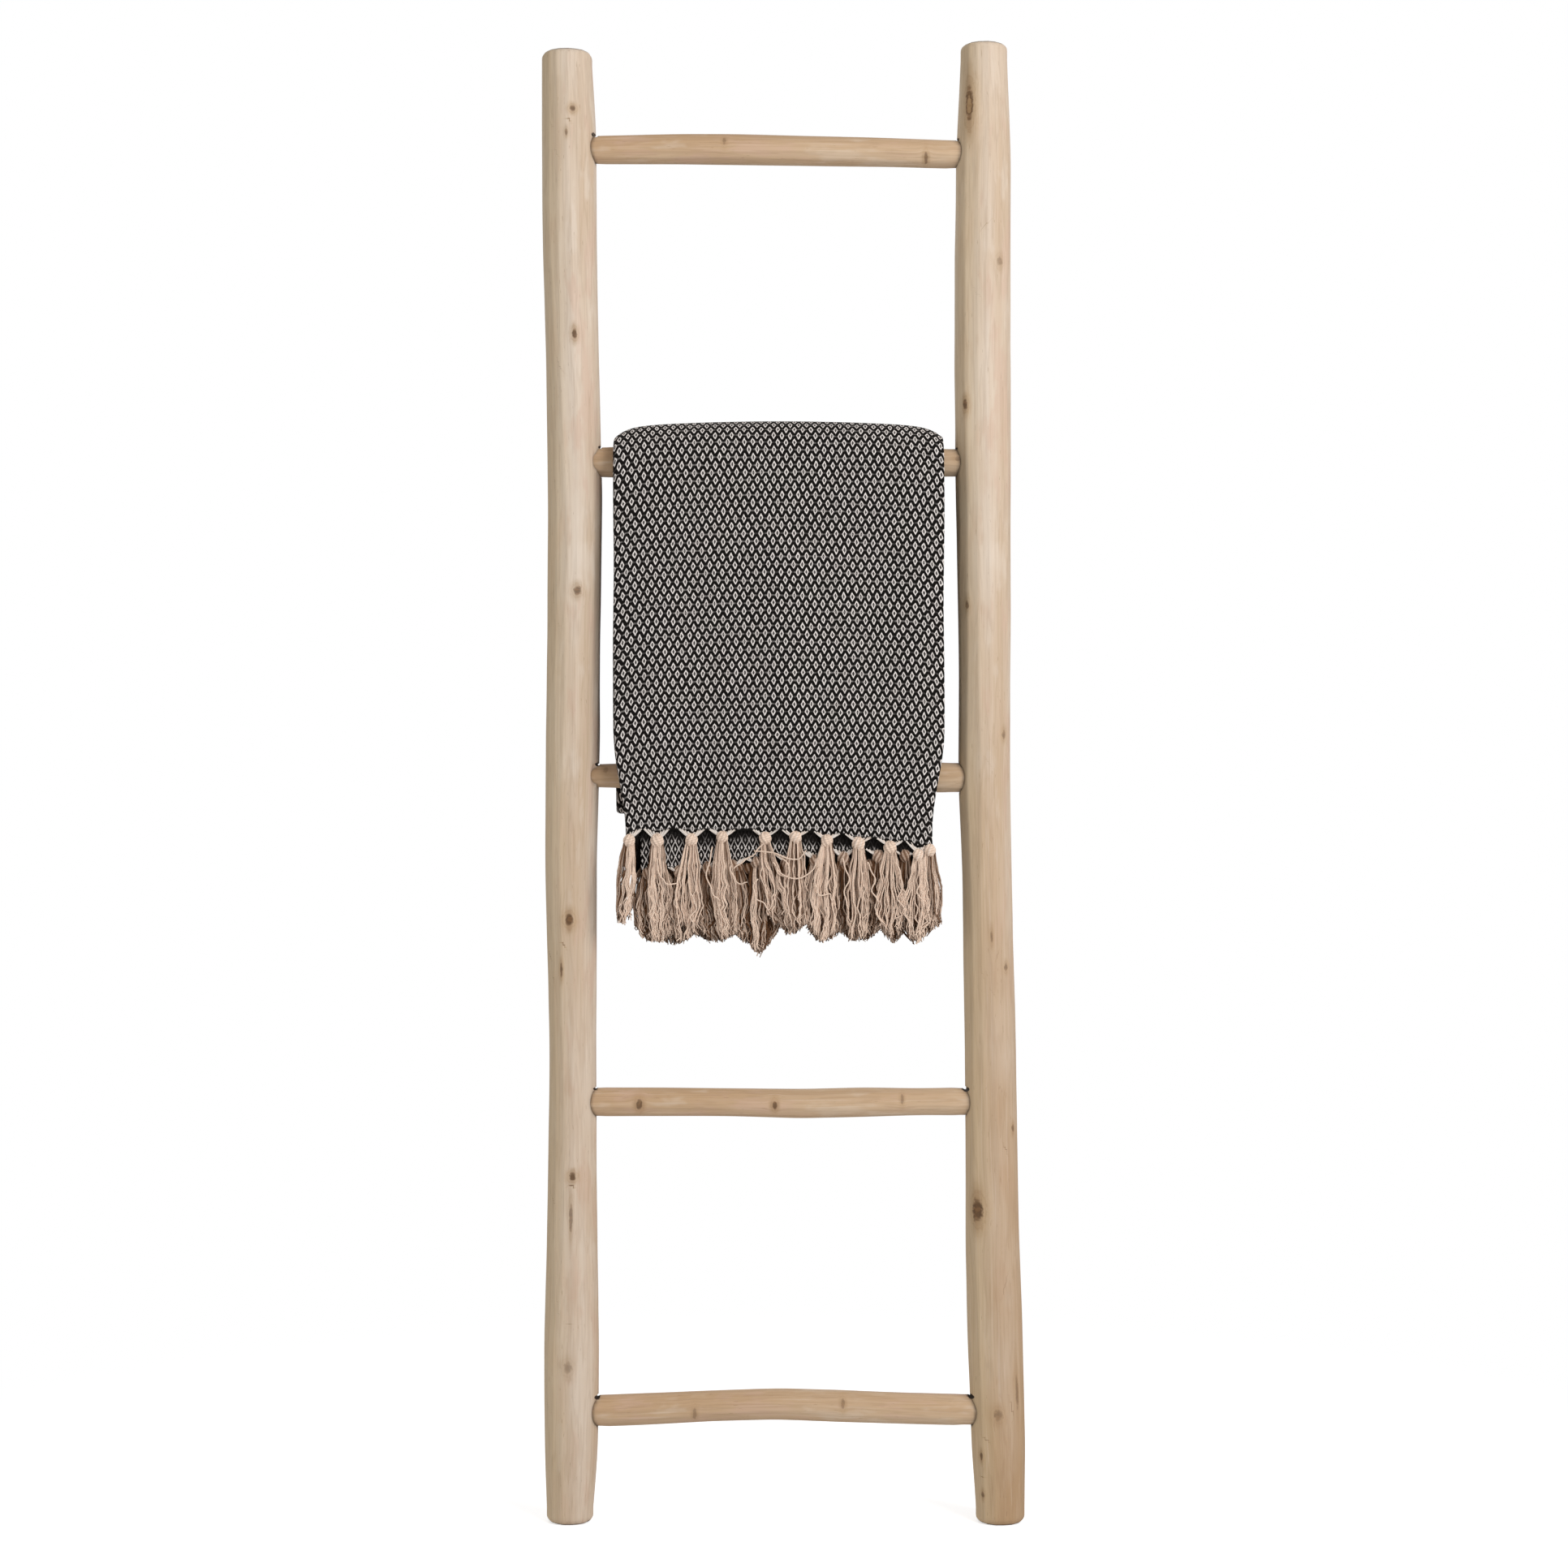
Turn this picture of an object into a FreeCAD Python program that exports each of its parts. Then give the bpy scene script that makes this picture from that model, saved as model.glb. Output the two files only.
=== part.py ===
"""Blanket ladder of round teak poles, with a tasselled cotton throw folded over its second rung.

Millimetres. +Z is up, +X runs along the rungs to the viewer's right, and the front faces -Y.
The origin is on the floor, midway between the rails.
"""
import FreeCAD, Part
import math
import os

from FreeCAD import Vector

# ---------------------------------------------------------------------------
# Driving dimensions of the ladder
# ---------------------------------------------------------------------------
RAIL_SPACING = 430.0        # between the nominal axes of the two poles
RAIL_DIAMETER = 54.0        # nominal pole, before its own swellings
RAIL_END_ROUNDING = 7.0     # sanded edge round each sawn end
LEFT_RAIL_SHORTFALL = 7.5   # how much lower the left pole was sawn
RAIL_FLATS = 16             # drawknife flats round a pole, one of them facing the rungs

FLOOR_TO_RUNG_5 = 114.0     # heights between rung axes, from the floor up
RUNG_5_TO_4 = 311.5
RUNG_4_TO_3 = 331.0
RUNG_3_TO_2 = 319.0
RUNG_2_TO_1 = 316.0
RUNG_1_TO_TOP = 108.5

RUNG_DIAMETER = 29.5        # nominal rung, before its own swellings
TENON_SHOULDER = 0.8        # the rung end is whittled down by this much all round
SHOULDER_LENGTH = 5.0       # length of the whittled taper, outside the rail
SHOULDER_SEAT_GAP = 0.8     # between the whittled shoulder and the rail
RUNG_FLATS = 12             # knife flats round a rung, one of them facing the front
TENON_DEPTH = 33.0          # how far a tenon goes into its rail
TENON_CLEARANCE = 0.15      # all round a tenon in its socket
SOCKET_END_GAP = 1.5        # glue space past the tenon's end

PIN_DIAMETER = 6.0          # wooden pin through rail and tenon
PIN_CLEARANCE = 0.1         # all round a pin in its hole
PIN_PAST_TENON = 4.0        # how far a pin goes on into the rail's front half
PIN_PROUD = 0.5             # how far a pin head stands out of the rail's back
PIN_SIDES = 8

# ---------------------------------------------------------------------------
# Driving dimensions of the throw
# ---------------------------------------------------------------------------
THROW_GAP_LEFT = 13.4       # from the folded throw to the rail, at the rung
THROW_GAP_RIGHT = 12.6
THROW_CLEARANCE = 0.5       # between the cloth and the thickest rung that it passes
FLAP_THICKNESS = 18.0       # eight layers of cloth hanging together
LAYER_THICKNESS = 2.2       # one layer with the air beside it
CROWN_THICKNESS = 26.0      # the same eight layers, bulged up over the rung
CROWN_FALL = 3.5            # gentle fall of the crown towards both sides
CROWN_CORNER_FALL = 11.0    # rounded shoulder right at the side folds
SIDE_FOLD_ROUNDING = 5.5    # how much thinner each face gets at the side folds
FLAP_BELLY = 2.2            # how far each hanging face bulges out at mid height
RIPPLE = 1.6                # depth of the soft folds down each face, less than the belly
FRONT_DROP = 379.0          # rung axis to the front hem, at the left side
FRONT_HEM_SLANT = 12.0      # extra drop of that hem at the right side
SECOND_HEM_DROP = 417.0     # rung axis to the second layer's hem, at the left side
SECOND_HEM_STEP = 4.0       # how far the second hem still shows at the right side
BACK_DROP = 357.0           # rung axis to the folded edge behind

TASSEL_SPACING = 30.5
TASSEL_INSET = 14.0         # from a side fold to the nearest tassel's middle
KNOT_DIAMETER = 10.0
KNOT_HEIGHT = 10.0
NECK_DIAMETER = 7.0
FRONT_TASSEL_LENGTH = 92.0
INNER_TASSEL_LENGTH = 78.0
TASSEL_UNEVENNESS = 5.0     # hand-cut ends: longest less middling length
TASSEL_GAP = 0.7            # clear space between neighbouring tassels
SEAT_GAP = 0.3              # between a knot and the hem that carries it
FRINGE_ROWS = 8             # two fringed ends, each folded in four
TASSEL_SIDES = 6

# ---------------------------------------------------------------------------
# Natural growth of the poles: (share of height, sideways bow, swelling of the diameter)
# ---------------------------------------------------------------------------
LEFT_RAIL_GROWTH = (
    (0.000, -2.0, -8.0),
    (0.050, -0.5, -0.5),
    (0.120, -0.3, 1.3),
    (0.206, 0.5, -3.7),
    (0.315, 0.9, -7.8),
    (0.382, 0.1, -4.5),
    (0.450, -1.2, -2.0),
    (0.535, 0.9, 0.5),
    (0.600, 2.1, -0.4),
    (0.690, 3.4, 0.5),
    (0.800, 0.1, -1.2),
    (0.870, -2.4, 0.5),
    (0.945, -3.2, 0.5),
    (1.000, -5.5, -4.5),
)
RIGHT_RAIL_GROWTH = (
    (0.000, 5.0, -5.0),
    (0.050, 3.3, 0.5),
    (0.120, 0.0, 2.1),
    (0.190, -2.7, 0.4),
    (0.255, -3.8, -0.5),
    (0.315, -4.6, -2.0),
    (0.385, -7.1, -3.7),
    (0.450, -8.7, -3.7),
    (0.500, -11.2, -2.0),
    (0.580, -10.8, -1.2),
    (0.660, -11.8, 0.9),
    (0.760, -12.9, 2.9),
    (0.860, -12.9, 2.9),
    (0.925, -11.6, 1.7),
    (1.000, -11.2, -7.5),
)

# Front tassels from the left: (sideways shift as a share of the tassel spacing, length more than middling)
FRONT_TASSEL_GROWTH = (
    (0.10, -9.0),
    (0.02, 12.0),
    (0.11, 6.0),
    (0.11, 11.0),
    (0.57, -8.0),
    (0.57, 6.0),
    (0.61, 10.0),
    (0.64, 6.0),
    (0.69, -4.0),
    (0.62, -2.0),
    (0.00, -8.0),
)

# Rungs from the top down: (share of length, rise of the axis, swelling of the diameter)
RUNG_GROWTH = {
    "rung_1": ((0.0, 2.0, -1.5), (0.22, 2.8, 0.2), (0.38, 2.4, 1.0), (0.6, 1.0, 0.2), (0.82, -0.4, -0.8),
               (1.0, -2.5, -1.5)),
    "rung_2": ((0.0, 0.3, 1.2), (0.35, 0.2, 0.9), (0.7, 0.0, 0.0), (1.0, -0.1, -1.0)),
    "rung_3": ((0.0, 0.9, -5.8), (0.12, 0.6, -3.0), (0.4, 0.0, -0.5), (0.7, -0.5, 0.6), (1.0, -1.1, 0.8)),
    "rung_4": ((0.0, 0.5, -0.6), (0.16, 0.5, -0.6), (0.37, 0.0, -1.5), (0.56, -1.6, 0.2), (0.74, 0.0, 0.2),
               (0.89, 0.5, -2.3), (1.0, 0.9, -1.4)),
    "rung_5": ((0.0, -2.0, 1.8), (0.14, 0.0, 1.8), (0.3, 2.9, 1.0), (0.48, 4.9, 1.8), (0.65, 2.9, 2.6),
               (0.8, 0.8, 1.8), (1.0, -1.2, 1.8)),
}

# ---------------------------------------------------------------------------
# Sizes that follow from the values above
# ---------------------------------------------------------------------------
RUNG_HEIGHTS = {"rung_5": FLOOR_TO_RUNG_5}
RUNG_HEIGHTS["rung_4"] = RUNG_HEIGHTS["rung_5"] + RUNG_5_TO_4
RUNG_HEIGHTS["rung_3"] = RUNG_HEIGHTS["rung_4"] + RUNG_4_TO_3
RUNG_HEIGHTS["rung_2"] = RUNG_HEIGHTS["rung_3"] + RUNG_3_TO_2
RUNG_HEIGHTS["rung_1"] = RUNG_HEIGHTS["rung_2"] + RUNG_2_TO_1
LADDER_HEIGHT = RUNG_HEIGHTS["rung_1"] + RUNG_1_TO_TOP

X_AXIS = Vector(1, 0, 0)
Y_AXIS = Vector(0, 1, 0)
Z_AXIS = Vector(0, 0, 1)
LEFT = -1
RIGHT = 1
RAIL_GROWTH = {LEFT: LEFT_RAIL_GROWTH, RIGHT: RIGHT_RAIL_GROWTH}
END_ARC_STEPS = 3           # rings that stand for the sanded quarter arc


def between(stations, share, column):
    """Value in one column of a growth list at a share of the length, straight between stations."""
    for low, high in zip(stations, stations[1:]):
        if share <= high[0]:
            part = (share - low[0]) / (high[0] - low[0])
            return low[column] + part * (high[column] - low[column])
    return stations[-1][column]


def rail_axis_x(side, height):
    return side * RAIL_SPACING / 2 + between(RAIL_GROWTH[side], height / LADDER_HEIGHT, 1)


def rail_radius(side, height):
    return (RAIL_DIAMETER + between(RAIL_GROWTH[side], height / LADDER_HEIGHT, 2)) / 2


def rail_inner_x(side, height):
    """Where the rail's side towards the rungs lies."""
    return rail_axis_x(side, height) - side * rail_radius(side, height)


def rung_end(name, side):
    """Height, body diameter and rail side line at one end of a rung."""
    station = RUNG_GROWTH[name][0] if side == LEFT else RUNG_GROWTH[name][-1]
    height = RUNG_HEIGHTS[name] + station[1]
    return height, RUNG_DIAMETER + station[2], rail_inner_x(side, height)


def tenon_radius(name, side):
    return rung_end(name, side)[1] / 2 - TENON_SHOULDER


def ring_corners(centre, radius, sides, across, up):
    """Corners of a regular polygon drawn outside its radius, with a flat facing the across direction."""
    reach = radius / math.cos(math.pi / sides)
    turns = [2 * math.pi * (corner + 0.5) / sides for corner in range(sides)]
    return [centre + across * (reach * math.cos(turn)) + up * (reach * math.sin(turn)) for turn in turns]


def flat_sided_solid(rings):
    """Closed solid of flat faces through parallel polygons with equally many corners."""
    faces = [Part.Face(Part.makePolygon(ring + ring[:1])) for ring in (rings[0], rings[-1])]
    for lower, upper in zip(rings, rings[1:]):
        for corner in range(len(lower)):
            after = (corner + 1) % len(lower)
            side = [lower[corner], lower[after], upper[after], upper[corner], lower[corner]]
            faces.append(Part.Face(Part.makePolygon(side)))
    return Part.makeSolid(Part.makeShell(faces))


# ---------------------------------------------------------------------------
# Ladder
# ---------------------------------------------------------------------------
def pin_span(name, side):
    """Place of a pin: x in the middle of the tenon, height, tip in the rail's front half and back surface."""
    height, _, mouth = rung_end(name, side)
    x = mouth + side * TENON_DEPTH / 2
    off_axis = x - rail_axis_x(side, height)
    back = math.sqrt(rail_radius(side, height) ** 2 - off_axis ** 2)
    tip = -(tenon_radius(name, side) + PIN_PAST_TENON)
    return x, height, tip, back


def pin_solid(name, side):
    """Eight-sided riven pin, driven in from the rail's back and square to the tenon."""
    x, height, tip, back = pin_span(name, side)
    turns = [2 * math.pi * corner / PIN_SIDES for corner in range(PIN_SIDES + 1)]
    corners = [Vector(x + PIN_DIAMETER / 2 * math.cos(turn), tip, height + PIN_DIAMETER / 2 * math.sin(turn))
               for turn in turns]
    return Part.Face(Part.makePolygon(corners)).extrude(Y_AXIS * (back + PIN_PROUD - tip))


def pin_hole(name, side):
    """Round hole for a pin, run out past the rail's back."""
    x, height, tip, back = pin_span(name, side)
    start = Vector(x, tip - PIN_CLEARANCE, height)
    return Part.makeCylinder(PIN_DIAMETER / 2 + PIN_CLEARANCE, 2 * back - tip, start, Y_AXIS)


def socket_cut(name, side):
    """Blind round socket that takes the tenon, open towards the rung."""
    height, _, mouth = rung_end(name, side)
    radius = tenon_radius(name, side) + TENON_CLEARANCE
    start = mouth - side * SHOULDER_LENGTH
    length = SHOULDER_LENGTH + TENON_DEPTH + SOCKET_END_GAP
    return Part.makeCylinder(radius, length, Vector(start, 0, height), X_AXIS * side)


def end_sections(side, end, inward):
    """Rings that round off a sawn end as a quarter arc; inward is +1 at the foot and -1 at the top."""
    x = rail_axis_x(side, end)
    radius = rail_radius(side, end)
    sections = []
    for step in range(END_ARC_STEPS + 1):
        turn = math.pi / 2 * step / END_ARC_STEPS
        rise = RAIL_END_ROUNDING * (1 - math.sin(turn))
        inset = RAIL_END_ROUNDING * (1 - math.cos(turn))
        sections.append((end + inward * rise, x, radius - inset))
    return sections


def rail_solid(side, top):
    """Hand-shaved pole through its growth stations, sawn ends rounded, with its sockets and pin holes cut."""
    sections = end_sections(side, 0.0, 1) + end_sections(side, top, -1)
    for share, _, _ in RAIL_GROWTH[side][1:-1]:
        height = share * LADDER_HEIGHT
        sections.append((height, rail_axis_x(side, height), rail_radius(side, height)))
    pole = flat_sided_solid([ring_corners(Vector(x, 0, height), radius, RAIL_FLATS, X_AXIS, Y_AXIS)
                             for height, x, radius in sorted(sections)])
    for name in RUNG_GROWTH:
        pole = pole.cut(socket_cut(name, side))
        pole = pole.cut(pin_hole(name, side))
    return pole


def rung_solid(name):
    """Bent, swelling bar, shaved down at both ends to a shoulder and carried on as a round tenon."""
    ends = {side: rung_end(name, side) for side in (LEFT, RIGHT)}
    start = ends[LEFT][2] + SHOULDER_LENGTH
    length = ends[RIGHT][2] - SHOULDER_LENGTH - start
    sections = [(start + share * length, RUNG_HEIGHTS[name] + rise, (RUNG_DIAMETER + swelling) / 2)
                for share, rise, swelling in RUNG_GROWTH[name]]
    for side, (height, _, mouth) in ends.items():
        sections.append((mouth - side * SHOULDER_SEAT_GAP, height, tenon_radius(name, side)))
    bar = flat_sided_solid([ring_corners(Vector(x, 0, height), radius, RUNG_FLATS, Y_AXIS, Z_AXIS)
                            for x, height, radius in sorted(sections)])
    for side, (height, _, mouth) in ends.items():
        foot = Vector(mouth - side * SHOULDER_LENGTH, 0, height)
        tenon_length = SHOULDER_LENGTH + TENON_DEPTH
        bar = bar.fuse(Part.makeCylinder(tenon_radius(name, side), tenon_length, foot, X_AXIS * side))
    for side in (LEFT, RIGHT):
        bar = bar.cut(pin_hole(name, side))
    return bar


# ---------------------------------------------------------------------------
# Throw: one cloth folded in four across and in two along, laid over rung 2
# ---------------------------------------------------------------------------
ARCH_HEIGHT = RUNG_HEIGHTS["rung_2"]
THICKEST_SWELLING = max(station[2] for name in ("rung_2", "rung_3") for station in RUNG_GROWTH[name])
HIGHEST_RISE = max(abs(station[1]) for station in RUNG_GROWTH["rung_2"])
WIDEST_RUNG = (RUNG_DIAMETER + THICKEST_SWELLING) / math.cos(math.pi / RUNG_FLATS)
ARCH_RADIUS = WIDEST_RUNG / 2 + HIGHEST_RISE + THROW_CLEARANCE
THROW_LEFT = rail_inner_x(LEFT, ARCH_HEIGHT) + THROW_GAP_LEFT
THROW_RIGHT = rail_inner_x(RIGHT, ARCH_HEIGHT) - THROW_GAP_RIGHT
THROW_WIDTH = THROW_RIGHT - THROW_LEFT
THROW_SHARES = (0.0, 0.02, 0.07, 0.21, 0.36, 0.5, 0.64, 0.79, 0.93, 0.98, 1.0)
CORNER_SHARPNESS = 14       # power that keeps the crown's shoulders close to the side folds
FOLD_SHARPNESS = 40         # the same for the rounding of the folds themselves
FRONT_FOLDS = 2.3           # soft folds across the width of each face
BACK_FOLDS = 1.7


def edge_nearness(share, sharpness):
    """1 at either side fold of the throw, about 0 elsewhere."""
    return abs(2 * share - 1) ** sharpness


def front_hem(share):
    return ARCH_HEIGHT - FRONT_DROP - FRONT_HEM_SLANT * share


def second_hem(share):
    right_drop = FRONT_DROP + FRONT_HEM_SLANT + SECOND_HEM_STEP
    return ARCH_HEIGHT - SECOND_HEM_DROP - (right_drop - SECOND_HEM_DROP) * share


def throw_section(share):
    """Closed side view of the folded pack at one place across its width."""
    x = THROW_LEFT + share * THROW_WIDTH
    pinch = SIDE_FOLD_ROUNDING * edge_nearness(share, FOLD_SHARPNESS)
    front_swell = FLAP_BELLY + RIPPLE * math.sin(2 * math.pi * FRONT_FOLDS * share)
    back_swell = FLAP_BELLY + RIPPLE * math.sin(2 * math.pi * BACK_FOLDS * share + 1.0)
    inner = ARCH_RADIUS
    outer = ARCH_RADIUS + FLAP_THICKNESS - pinch
    crown_fall = CROWN_FALL * (2 * share - 1) ** 2 + CROWN_CORNER_FALL * edge_nearness(share, CORNER_SHARPNESS)
    crown = ARCH_RADIUS + CROWN_THICKNESS - crown_fall
    waist = ARCH_HEIGHT - FRONT_DROP / 2
    back_fold = ARCH_HEIGHT - BACK_DROP
    fold_radius = (outer - inner) / 2
    middle = (outer + inner) / 2
    hem_face = -outer + LAYER_THICKNESS
    diagonal = math.sqrt(0.5)

    def point(depth, height):
        return Vector(x, depth, height)

    front_bottom = point(-outer, front_hem(share))
    front_waist = point(-outer - front_swell, waist)
    front_top = point(-outer, ARCH_HEIGHT)
    top = point(0, ARCH_HEIGHT + crown)
    back_top = point(outer, ARCH_HEIGHT)
    back_waist = point(outer + back_swell, waist)
    back_bottom = point(outer, back_fold + fold_radius)
    fold_bottom = point(middle, back_fold)
    fold_inside = point(inner, back_fold + fold_radius)
    arch_back = point(inner, ARCH_HEIGHT)
    arch_top = point(0, ARCH_HEIGHT + inner)
    arch_front = point(-inner, ARCH_HEIGHT)
    inner_bottom = point(-inner, second_hem(share))
    second_bottom = point(hem_face, second_hem(share))
    step = point(hem_face, front_hem(share))
    edges = [
        Part.Arc(front_bottom, front_waist, front_top),
        Part.Arc(front_top, point(-outer * diagonal, ARCH_HEIGHT + crown * diagonal), top),
        Part.Arc(top, point(outer * diagonal, ARCH_HEIGHT + crown * diagonal), back_top),
        Part.Arc(back_top, back_waist, back_bottom),
        Part.Arc(back_bottom, point(middle + fold_radius * diagonal, back_fold + fold_radius * (1 - diagonal)),
                 fold_bottom),
        Part.Arc(fold_bottom, point(middle - fold_radius * diagonal, back_fold + fold_radius * (1 - diagonal)),
                 fold_inside),
        Part.LineSegment(fold_inside, arch_back),
        Part.Arc(arch_back, point(inner * diagonal, ARCH_HEIGHT + inner * diagonal), arch_top),
        Part.Arc(arch_top, point(-inner * diagonal, ARCH_HEIGHT + inner * diagonal), arch_front),
        Part.LineSegment(arch_front, inner_bottom),
        Part.LineSegment(inner_bottom, second_bottom),
        Part.LineSegment(second_bottom, step),
        Part.LineSegment(step, front_bottom),
    ]
    return Part.Wire([edge.toShape() for edge in edges])


def throw_solid():
    return Part.makeLoft([throw_section(share) for share in THROW_SHARES], True, True)


# ---------------------------------------------------------------------------
# Fringe: knotted tassels under the eight hems, three places out of step so that they nest
# ---------------------------------------------------------------------------
STAGGER_PLACES = 3
SINGLE_ROWS = {1: "front", 2: "second"}     # the rows in full view, whose tassels are nodes of their own
TASSEL_PITCH = KNOT_DIAMETER + TASSEL_GAP
SIDE_STEP = TASSEL_SPACING / STAGGER_PLACES
ROW_STEP = max(TASSEL_PITCH / STAGGER_PLACES, math.sqrt(max(TASSEL_PITCH ** 2 - SIDE_STEP ** 2, 0.0)))
FRONT_FACE = ARCH_RADIUS + FLAP_THICKNESS


def tassel_solid(x, depth, top, length):
    """Knot, drawn-in neck and a skirt of yarn that widens to its cut end."""
    knot = KNOT_DIAMETER / 2 * math.cos(math.pi / TASSEL_SIDES)
    outline = (
        (0.0, knot * 0.5),
        (KNOT_HEIGHT * 0.5, knot),
        (KNOT_HEIGHT, NECK_DIAMETER / 2),
        (length, knot),
    )
    return flat_sided_solid([ring_corners(Vector(x, depth, top - down), radius, TASSEL_SIDES, X_AXIS, Y_AXIS)
                             for down, radius in reversed(outline)])


def tassels_of_row(row):
    """One row, numbered from the front. Row 1 hangs from the front hem and lies over the second layer."""
    hem = front_hem if row == 1 else second_hem
    length = FRONT_TASSEL_LENGTH if row == 1 else INNER_TASSEL_LENGTH
    second_row_depth = -FRONT_FACE + LAYER_THICKNESS + KNOT_DIAMETER / 4
    depth = second_row_depth + ROW_STEP * (row - 2)
    if row == 1:
        depth = -FRONT_FACE + LAYER_THICKNESS - SEAT_GAP - KNOT_DIAMETER / 2
    start = THROW_LEFT + TASSEL_INSET + SIDE_STEP * ((row - 1) % STAGGER_PLACES)
    tassels = []
    while True:
        number = len(tassels)
        shift, uneven = 0.0, TASSEL_UNEVENNESS * math.sin(2.4 * number + 1.7 * row)
        if row == 1 and number < len(FRONT_TASSEL_GROWTH):
            shift, uneven = FRONT_TASSEL_GROWTH[number]
        x = start + TASSEL_SPACING * (number + shift)
        if x > THROW_RIGHT - TASSEL_INSET:
            return tassels
        shares = [(edge - THROW_LEFT) / THROW_WIDTH for edge in (x - KNOT_DIAMETER / 2, x + KNOT_DIAMETER / 2)]
        top = min(hem(share) for share in shares) - SEAT_GAP
        tassels.append(tassel_solid(x, depth, top, length + uneven))


# ---------------------------------------------------------------------------
# All pieces
# ---------------------------------------------------------------------------
def pieces():
    """Every node's name with its shape."""
    made = {
        "left_rail": rail_solid(LEFT, LADDER_HEIGHT - LEFT_RAIL_SHORTFALL),
        "right_rail": rail_solid(RIGHT, LADDER_HEIGHT),
        "throw": throw_solid(),
    }
    for name in RUNG_GROWTH:
        made[name] = rung_solid(name)
        made[name.replace("rung", "left_pin")] = pin_solid(name, LEFT)
        made[name.replace("rung", "right_pin")] = pin_solid(name, RIGHT)
    for row in range(1, FRINGE_ROWS + 1):
        tassels = tassels_of_row(row)
        if row in SINGLE_ROWS:
            for number, tassel in enumerate(tassels, 1):
                made[f"{SINGLE_ROWS[row]}_tassel_{number}"] = tassel
        else:
            made[f"fringe_row_{row}"] = Part.makeCompound(tassels)
    return made


os.makedirs("parts", exist_ok=True)
for node, shape in pieces().items():
    shape.exportStep(f"parts/{node}.step")
    state = "valid" if shape.isValid() else "NOT VALID"
    print(node, state, len(shape.Solids), "solids", round(shape.Volume), "mm3")
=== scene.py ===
"""Looks of the blanket ladder: shaved teak poles and rungs, riven pins, and a folded cotton throw with tassels.

Metres. +X runs along the rungs to the viewer's right, +Y away from the viewer and +Z up.
"""
import math

import bpy
import numpy as np
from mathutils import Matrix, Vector
from mathutils.bvhtree import BVHTree


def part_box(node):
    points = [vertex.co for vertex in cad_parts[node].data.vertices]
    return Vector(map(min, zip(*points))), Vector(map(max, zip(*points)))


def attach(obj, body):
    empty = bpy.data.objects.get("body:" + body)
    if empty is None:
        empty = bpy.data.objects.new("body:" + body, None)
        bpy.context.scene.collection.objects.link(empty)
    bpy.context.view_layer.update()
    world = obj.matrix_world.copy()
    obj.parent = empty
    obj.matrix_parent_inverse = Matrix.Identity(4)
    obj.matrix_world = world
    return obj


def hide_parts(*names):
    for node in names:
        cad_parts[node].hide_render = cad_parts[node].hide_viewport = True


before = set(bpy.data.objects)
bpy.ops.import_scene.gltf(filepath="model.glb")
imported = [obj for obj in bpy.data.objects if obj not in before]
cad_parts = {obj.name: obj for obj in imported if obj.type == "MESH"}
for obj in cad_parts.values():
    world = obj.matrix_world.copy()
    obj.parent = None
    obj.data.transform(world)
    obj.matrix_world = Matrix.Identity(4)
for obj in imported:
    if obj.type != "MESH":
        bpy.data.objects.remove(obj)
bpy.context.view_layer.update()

MM = 0.001
HALF = (0.5, 0.5, 0.5)
LEFT, RIGHT = -1, 1
RUNGS = ("rung_1", "rung_2", "rung_3", "rung_4", "rung_5")

# ---- Camera: the photograph's frame is 1932 pixels wide and stands 3 m in front of the ladder ----
PHOTO_SIDE = 1932
PHOTO_PIXEL = 0.825 * MM        # on the plane of the ladder
CAMERA_DISTANCE = 3.0
CAMERA_X = 0.4 * MM
CAMERA_HEIGHT = 749 * MM
SENSOR = 36.0
WORLD_LIGHT = 0.40
FLOOR_GLOW = 0.60
FLOOR_FADE = (0.45, 1.2)        # the floor turns white between these distances from the ladder
LIGHTS = (                      # (name, place, size, power)
    ("key", (2.1, -2.5, 2.3), (1.8, 1.8), 84),
    ("fill", (-2.6, -2.2, 1.3), (2.2, 2.2), 12),
    ("back", (-0.6, 2.6, 2.4), (2.0, 1.6), 16),
)
LIT_PLACE = (0, 0, 0.75)        # what all lights look at

# ---- Wood ----
RAIL_SIDES, RAIL_STEP = 96, 2.4 * MM
RUNG_SIDES, RUNG_STEP = 72, 2.2 * MM
MEASURE_STEP = 6 * MM
RAIL_WINDOW, RUNG_WINDOW = 70 * MM, 45 * MM    # lengths over which the measures are smoothed
ABOUT_RADIUS = 27 * MM          # of a rail, to find its middle
FLAT_BLEND = 0.12 * MM          # how softly the shaved flats meet
END_ROUNDING = 7 * MM
TENON_DEPTH = 33 * MM
SOCKET_GAP = 0.35 * MM          # round a rung where it goes into its rail
PIN_RADIUS = 3.0 * MM
PIN_PROUD = 0.6 * MM
PIN_SIDES = 9
PIN_PAST_TENON = 4 * MM
RAIL_FLATS, RUNG_FLATS = 15, 12
RAIL_SEED, RUNG_SEED, PIN_SEED = {LEFT: 11, RIGHT: 47}, 70, 31
END_RINGS = 7
CAP_RINGS = np.array([0.12, 0.4, 0.7])
SOCKET_SIDES = 64
SOCKET_END = 2 * MM
WHITTLED = 0.35 * MM            # how much less the rungs measure inside their sockets
SPLITS = {                      # how large a notch gapes at each rung's top, where the socket's edge broke out
    LEFT: (("rung_1", 1.0), ("rung_2", 0.6), ("rung_3", 0.7), ("rung_4", 0.55), ("rung_5", 0.85)),
    RIGHT: (("rung_1", 0.55), ("rung_2", 0.45), ("rung_4", 1.0), ("rung_5", 0.95)),
}
SPLIT_SIZE = np.array((3.4, 15.0, 2.6)) * MM       # half sizes of the largest such notch
SPLIT_SIDES, FACET_SIDES = 20, 36
FACETS = {LEFT: ("rung_2", "rung_3"), RIGHT: ()}   # rungs in front of which the rail is whittled hollow
FACET = (9 * MM, 7 * MM, 3.5 * MM)                 # half its width and depth, and its reach past the rung
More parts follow.
